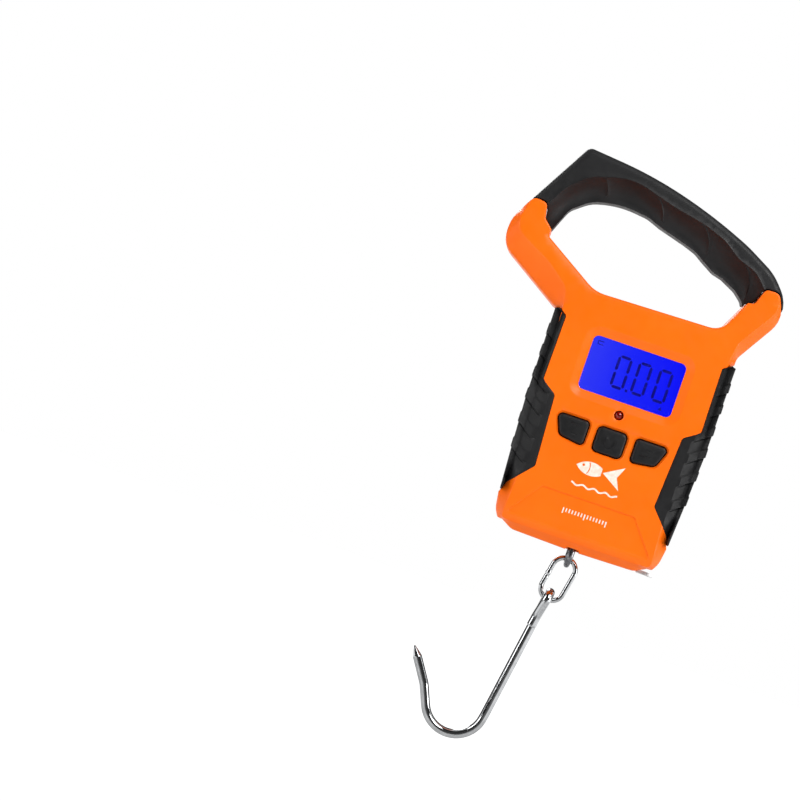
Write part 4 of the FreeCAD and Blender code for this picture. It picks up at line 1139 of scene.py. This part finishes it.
def load_loop():
    half, top = LOOP_HIGH[1] - LOOP_WIRE, LOOP_HIGH[2] - LOOP_WIRE
    corners = [(-half, top, 1.9), (half, top, 1.9), (half, LOOP_FOOT, half - 0.01),
               (-half, LOOP_FOOT, half - 0.01)]
    loop = rounded(corners, step=0.5, turn_step=math.radians(6))
    points, faces = sweep(np.insert(loop, 0, 0.0, 1), LOOP_WIRE, closed=True, sides=28)
    # broader above the chain link's seat
    points[:, 0] *= 1 + 0.22 * smooth(points[:, 2], LOOP_FOOT + 1.6, LOOP_FOOT + 3.4)
    make("steel_load_loop", (points, faces), DARK_STEEL, replaces=["load_loop"])


def chain_link():
    top = LOOP_FOOT + LOOP_WIRE + LINK_WIRE + SLACK
    bottom = top - LINK_LENGTH
    corners = rectangle((-LINK_REACH, LINK_REACH), (bottom, top), LINK_REACH - 0.01)
    loop = rounded(corners, step=0.3, turn_step=math.radians(4))
    weld = np.hypot(loop[:, 0] + LINK_REACH, loop[:, 1] - (top + bottom) / 2 - 0.4)
    wire = LINK_WIRE + 0.22 * np.exp(-(weld / 0.5) ** 2) - 0.1 * np.exp(-((weld - 1.1) / 0.35) ** 2)
    drop = loop[:, 1] - LOOP_FOOT
    x = loop[:, 0] * math.cos(LINK_TILT) + drop * math.sin(LINK_TILT)
    z = LOOP_FOOT - loop[:, 0] * math.sin(LINK_TILT) + drop * math.cos(LINK_TILT)
    path = np.stack((x, np.zeros(len(x)), z), 1)
    make("steel_chain_link", sweep(path, wire, closed=True, sides=28), STEEL, body="link",
         replaces=["chain_link"])


def between(start, end, step=0.25):
    count = max(2, int(np.linalg.norm(end - start) / step))
    return start + (end - start) * np.linspace(0, 1, count, endpoint=False)[:, None]


def softened(path, rounds):
    """An open path with its corners eased."""
    for _ in range(rounds):
        middle = (path[:-2] + 2 * path[1:-1] + path[2:]) / 4
        path = np.concatenate((path[:1], middle, path[-1:]))
    return path


def turning(first, second, turn, count):
    """Directions that turn from one towards the other, which stands square to it."""
    angles = np.linspace(0, turn, count, endpoint=False)[:, None]
    return np.cos(angles) * first + np.sin(angles) * second


def hook():
    """Eye folded across the hook's plane, its tail lying in front of the shank."""
    drop = LINK_LENGTH - (LOOP_WIRE + LINK_WIRE + SLACK)
    foot = np.array((-drop * math.sin(LINK_TILT), 0, LOOP_FOOT - drop * math.cos(LINK_TILT)))
    down = np.array((-math.sin(HOOK_TILT), 0, -math.cos(HOOK_TILT)))
    across = np.array((math.cos(HOOK_TILT), 0, -math.sin(HOOK_TILT)))
    depth = np.array((0, 1, 0))
    centre = foot - down * (LINK_WIRE + HOOK_WIRE + SLACK) + down * HOOK_EYE
    lean = HOOK_WIRE + 0.05
    aside = depth * lean + across * 0.35
    tail, neck_tail = centre + down * 12.5 - aside, centre + down * 7.5 - aside
    neck = centre + down * 7.5 + depth * lean
    fold = centre - HOOK_EYE * turning(depth, down, math.pi, 60)
    bend = np.array((BEND_CENTRE[0], lean, BEND_CENTRE[1]))
    curve = bend + BEND_RADIUS * turning(across, down, math.pi - HOOK_TILT - HOOK_RISE, 110)
    end = bend - BEND_RADIUS * np.array((math.cos(HOOK_RISE), 0, math.sin(HOOK_RISE)))
    flare = end + RISE_LENGTH * np.array((-math.sin(HOOK_RISE), 0, math.cos(HOOK_RISE)))
    point = np.array((HOOK_POINT[0], lean, HOOK_POINT[1]))
    path = np.concatenate((between(tail, neck_tail), between(neck_tail, fold[0]), fold,
                           between(centre + HOOK_EYE * depth, neck),
                           between(neck, bend + across * BEND_RADIUS, 1.0), curve,
                           between(end, flare), between(flare, point), [point]))
    path = softened(path, 26)
    left = np.linalg.norm(path - point, axis=1)
    wire = np.where(left < GRIND, TIP + (HOOK_WIRE - TIP) * np.clip(left / GRIND, 0, 1), HOOK_WIRE)
    first = np.linalg.norm(path - tail, axis=1)
    wire = wire - 0.5 * fillet(np.clip(first, 0, 1), 0.7)
    make("steel_hook", sweep(path, wire, sides=32), STEEL, body="hook_body", replaces=["hook"])


# ---- tape ----
def tape_tab():
    """Bent sheet-steel end tab: leg on the blade, foot outwards, with a lip along its front edge."""
    thick, corner = 0.5, 2.4
    low_z, start, end = TAB_LOW[2], TAB_LOW[0], TAB_HIGH[0]
    leg = pad_box((BLADE_HIGH[0], -2.9, low_z + 0.3), (BLADE_HIGH[0] + 0.6, 2.9, TAB_HIGH[2]), 0.15)
    rings = []
    rounding = end - corner * (1 - np.sin(np.radians(np.linspace(8, 90, 12))))
    for x in np.concatenate((np.linspace(start, end - corner, 8), rounding)):
        share = max(0.0, (x - end + corner) / corner)
        width = math.sqrt(max(0.0, 1 - share ** 2))
        half = TAB_HIGH[1] - 1.6 * (1 - width)
        foot = low_z + 0.12 * (end - x) / 6.6
        top, front = foot + thick, thick - half
        lip = top + 1.1 * width * min(1.0, (x - start) / 0.6)
        rings.append([(x, half, foot), (x, half, top), (x, front + 0.3, top), (x, front, top + 0.3),
                      (x, front, lip), (x, -half, lip), (x, -half, foot + 0.3), (x, 0.3 - half, foot)])
    rows, width = len(rings), len(rings[0])
    foot_plate = (np.concatenate(rings), quads(rows, width) + caps(rows, width))
    make("tape_pull_tab", joined(foot_plate, leg), SATIN, body="tape_end",
         replaces=["tape_tab"], crease=40)


# ---- back: battery bay and screws ----
HINGE_Y, HINGE_Z, BARREL = 12.85, -61.2, 1.1
HINGE_HALF = 20
CELL_Y, CELL_RADIUS, CELL_END = 6.6, 5.25, 22.25
CELLS = (("upper", -70.4, 1), ("lower", -81.6, -1))    # name, z, where the pole points along X


def battery_cover():
    low, high = COVER_LOW, COVER_HIGH
    ribs = [rounded(rectangle((-9.0, 9.0), (z, z + 1.0), 0.45), step=0.8)
            for z in (low[2] + 3.4 + 2.2 * i for i in range(4))]
    arrow = np.array([(-3.0, -74.6), (3.0, -74.6), (0.0, -77.8)])
    panel = pad(rectangle((low[0], high[0]), (low[2], HINGE_Z - 3.0), 1.5), CREST - 0.3, CREST - 1.8,
                edge=0.45, spacing=3, marks=ribs + [arrow], rise=0.28)
    neck = pad_box((-HINGE_HALF, HINGE_Y - 0.6, HINGE_Z - 4.6),
                   (HINGE_HALF, CREST - 0.5, HINGE_Z - 0.2), 0.2)
    pin = sweep([(-HINGE_HALF, HINGE_Y, HINGE_Z), (HINGE_HALF, HINGE_Y, HINGE_Z)], BARREL)
    make("battery_door", joined(panel, neck, pin), ORANGE, body="battery_door",
         replaces=["battery_cover"])


def batteries():
    neck, radius, end = CELL_END - 1.2, CELL_RADIUS, CELL_END
    can = [(radius - 1.4, -end), (radius - 0.5, -end + 0.05), (radius, -end + 0.7), (radius, neck - 0.7),
           (radius - 0.5, neck - 0.1), (2.6, neck)]
    pole = [(2.5, neck - 0.2), (2.5, neck + 0.05), (1.9, neck + 0.1), (1.9, end - 0.3), (1.6, end),
            (0.4, end)]
    for name, z, towards in CELLS:
        for part, profile, sides, material, nodes, slot in (
                ("can", can, 40, BATTERY, ["battery_" + name], "battery_wrap"),
                ("pole", pole, 32, NICKEL, [], "nickel_steel")):
            points, faces = turned(profile, (CELL_Y, z), sides)
            points = points[:, [1, 0, 2]] * (towards, 1, 1)
            make(f"{name}_battery_{part}", (points, faces), material, replaces=nodes)


def springs():
    """A conical coil behind the flat end of each cell."""
    coils = []
    turns, wire = 3.25, 0.32
    for _, z, towards in CELLS:
        t = np.linspace(0, 1, 90)
        angle = t * turns * 2 * math.pi
        radius = 3.2 - 1.5 * t
        x = -towards * (BAY_END - wire - 0.05 - 2.3 * t)
        path = np.stack((x, CELL_Y + radius * np.cos(angle), z + radius * np.sin(angle)), 1)
        coils.append(sweep(path, wire, sides=10))
    make("contact_springs", joined(*coils), NICKEL, replaces=["battery_springs"])


def screws():
    """Pan heads with a cross recess."""
    heads = []
    slot, arm = 0.42, 1.6
    quarter = [(-arm, -slot), (-slot, -slot), (-slot, -arm)]
    cross = np.array([(cos * a - sin * b, sin * a + cos * b)
                      for cos, sin in ((1, 0), (0, 1), (-1, 0), (0, -1)) for a, b in quarter])
    for x, z in SCREWS:
        heads.append(pad(circle(x, z, 2.68), SCREW_SEAT + 1.9, SCREW_SEAT + 0.02, edge=0.55, crown=0.3,
                         spacing=1.2, marks=[cross + (x, z)], rise=-0.9))
        heads.append(turned([(0.4, -8.4), (1.25, -7.2), (1.25, SCREW_SEAT + 0.1), (0.5, SCREW_SEAT + 0.1)],
                            (x, z), 20))
    make("housing_screw_set", joined(*heads), ZINC, replaces=["housing_screws"])


# ---- finishes of the CAD nodes that stay ----
KEPT = {
    "lcd_glass": LIT, "backlight_panel": LIT, "lcd_holder": WHITE, "zebra_strip": RUBBER,
    "main_board": GREEN, "board_screws": ZINC, "tact_switches": BLACK, "controller_chip": BLACK,
    "buzzer": BLACK, "battery_plates": NICKEL, "battery_cover_pin": ZINC, "load_cell": ALUMINIUM,
    "strain_gauges": NICKEL, "load_cell_bracket": ZINC, "load_cell_screws": ZINC, "tape_case": WHITE,
    "tape_case_cover": WHITE, "tape_axle": ZINC, "tape_spring": BLUED, "tape_spool": WHITE,
    "tape_coil": TAPE, "tape_blade": TAPE, "tape_tab_rivets": ZINC,
}


def finish_nodes():
    for node, material in KEPT.items():
        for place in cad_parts[node].material_slots:
            place.material = material


# ---- light, floor and camera ----
def sky():
    """Bands of light and dark round the object, for the steel to mirror."""
    scene = bpy.context.scene
    scene.view_settings.view_transform = "Standard"
    scene.world = bpy.data.worlds.new("studio")
    scene.world.use_nodes = True
    shading = Shading(scene.world.node_tree)
    depth = shading.spread(shading.axis("Y", shading.direction), -1.0, 1.0)
    bands = shading.ramp(depth, [(place, grey(tone)) for place, tone in (
        (0.0, 0.06), (0.1, 0.06), (0.16, 0.02), (0.36, 0.02), (0.42, 0.9), (0.58, 1.0),
        (0.64, 0.06), (0.95, 0.06), (0.975, 1.0), (1.0, 1.0))], "EASE")
    sides = shading.spread(shading.axis("X", shading.direction), -0.9, -0.3, 0.45)
    background = shading.nodes["Background"]
    shading.links.new(sides, background.inputs["Strength"])
    shading.links.new(bands, background.inputs["Color"])


def floor():
    """Pale sheet below the object that glows far away, except towards the front."""
    reach, drop = 10.0, cad_box[0].z - 0.6
    mesh = bpy.data.meshes.new("floor")
    corners = [(-reach, -reach, drop), (reach, -reach, drop), (reach, reach, drop), (-reach, reach, drop)]
    mesh.from_pydata(corners, [], [(0, 1, 2, 3)])
    paper = Finish("floor_paper", Roughness=0.9, Emission_Color=grey(1))
    paper.tint(3, grey(0.65), grey(0.67))
    far = paper.spread(paper.vector_math("LENGTH", "Value"), 1.2, 3.0, 0.05, 1.0)
    heading = paper.axis("Y", paper.vector_math("NORMALIZE", "Vector"))
    front = paper.spread(heading, -0.93, -0.83)
    paper.feed("Emission Strength", paper.math("MULTIPLY", far, front))
    mesh.materials.append(paper.material)
    sheet = bpy.data.objects.new("floor", mesh)
    bpy.context.collection.objects.link(sheet)


# name, place, size, power, seen in reflections
SOFTBOXES = (
    ("key", (0.7, -1.1, 0.9), (0.8, 0.8), 19, True),
    ("side", (1.25, -0.4, -0.05), (0.4, 0.7), 5.5, True),
    ("fill", (-1.2, -0.55, 0.3), (0.3, 0.9), 5.5, True),
    ("bounce", (-0.5, -1.2, -0.7), (1.2, 0.8), 7.0, False),
    ("back", (-0.8, 1.4, 0.9), (0.9, 0.9), 18, True),
)


def softboxes():
    for name, place, size, power, mirrored in SOFTBOXES:
        light = bpy.data.lights.new(name, "AREA")
        light.shape = "RECTANGLE"
        light.size, light.size_y = size
        light.energy = power
        box = bpy.data.objects.new(name, light)
        box.location = place
        aim = Vector((0, 0, -0.08)) - Vector(place)
        box.rotation_euler = aim.to_track_quat("-Z", "Y").to_euler()
        box.visible_glossy = mirrored
        bpy.context.collection.objects.link(box)


def camera():
    """Nearly square to the display, from the left, rolled so that the scale leans to the right."""
    view_width, distance, roll = 0.3265, 1.0, math.radians(19.0)
    data = bpy.data.cameras.new("camera")
    data.sensor_width = 36.0
    data.lens = data.sensor_width * distance / view_width
    eye = bpy.data.objects.new("camera", data)
    aim = Vector((-0.0864, -CREST * MM, -0.108))
    place = Vector((-0.035, aim.y - distance, -0.108))
    back = (place - aim).normalized()
    up = Vector((-math.sin(roll), 0, math.cos(roll)))
    right = up.cross(back).normalized()
    turn = Matrix((right, back.cross(right), back)).transposed()
    eye.matrix_world = Matrix.Translation(place) @ turn.to_4x4()
    bpy.context.collection.objects.link(eye)
    bpy.context.scene.camera = eye


front_shell()
rear_shell()
handle_grip()
side_grip("right_side_grip_moulding", 1, "right_side_grip", 31.2, 36.0, 0.75)
side_grip("left_side_grip_moulding", -1, "left_side_grip", 29.4, 34.9, 0.45)
for build in (display, lamp, keys, print_on_face, load_loop, chain_link, hook, tape_tab, battery_cover,
              batteries, springs, screws, finish_nodes, sky, floor, softboxes, camera):
    build()
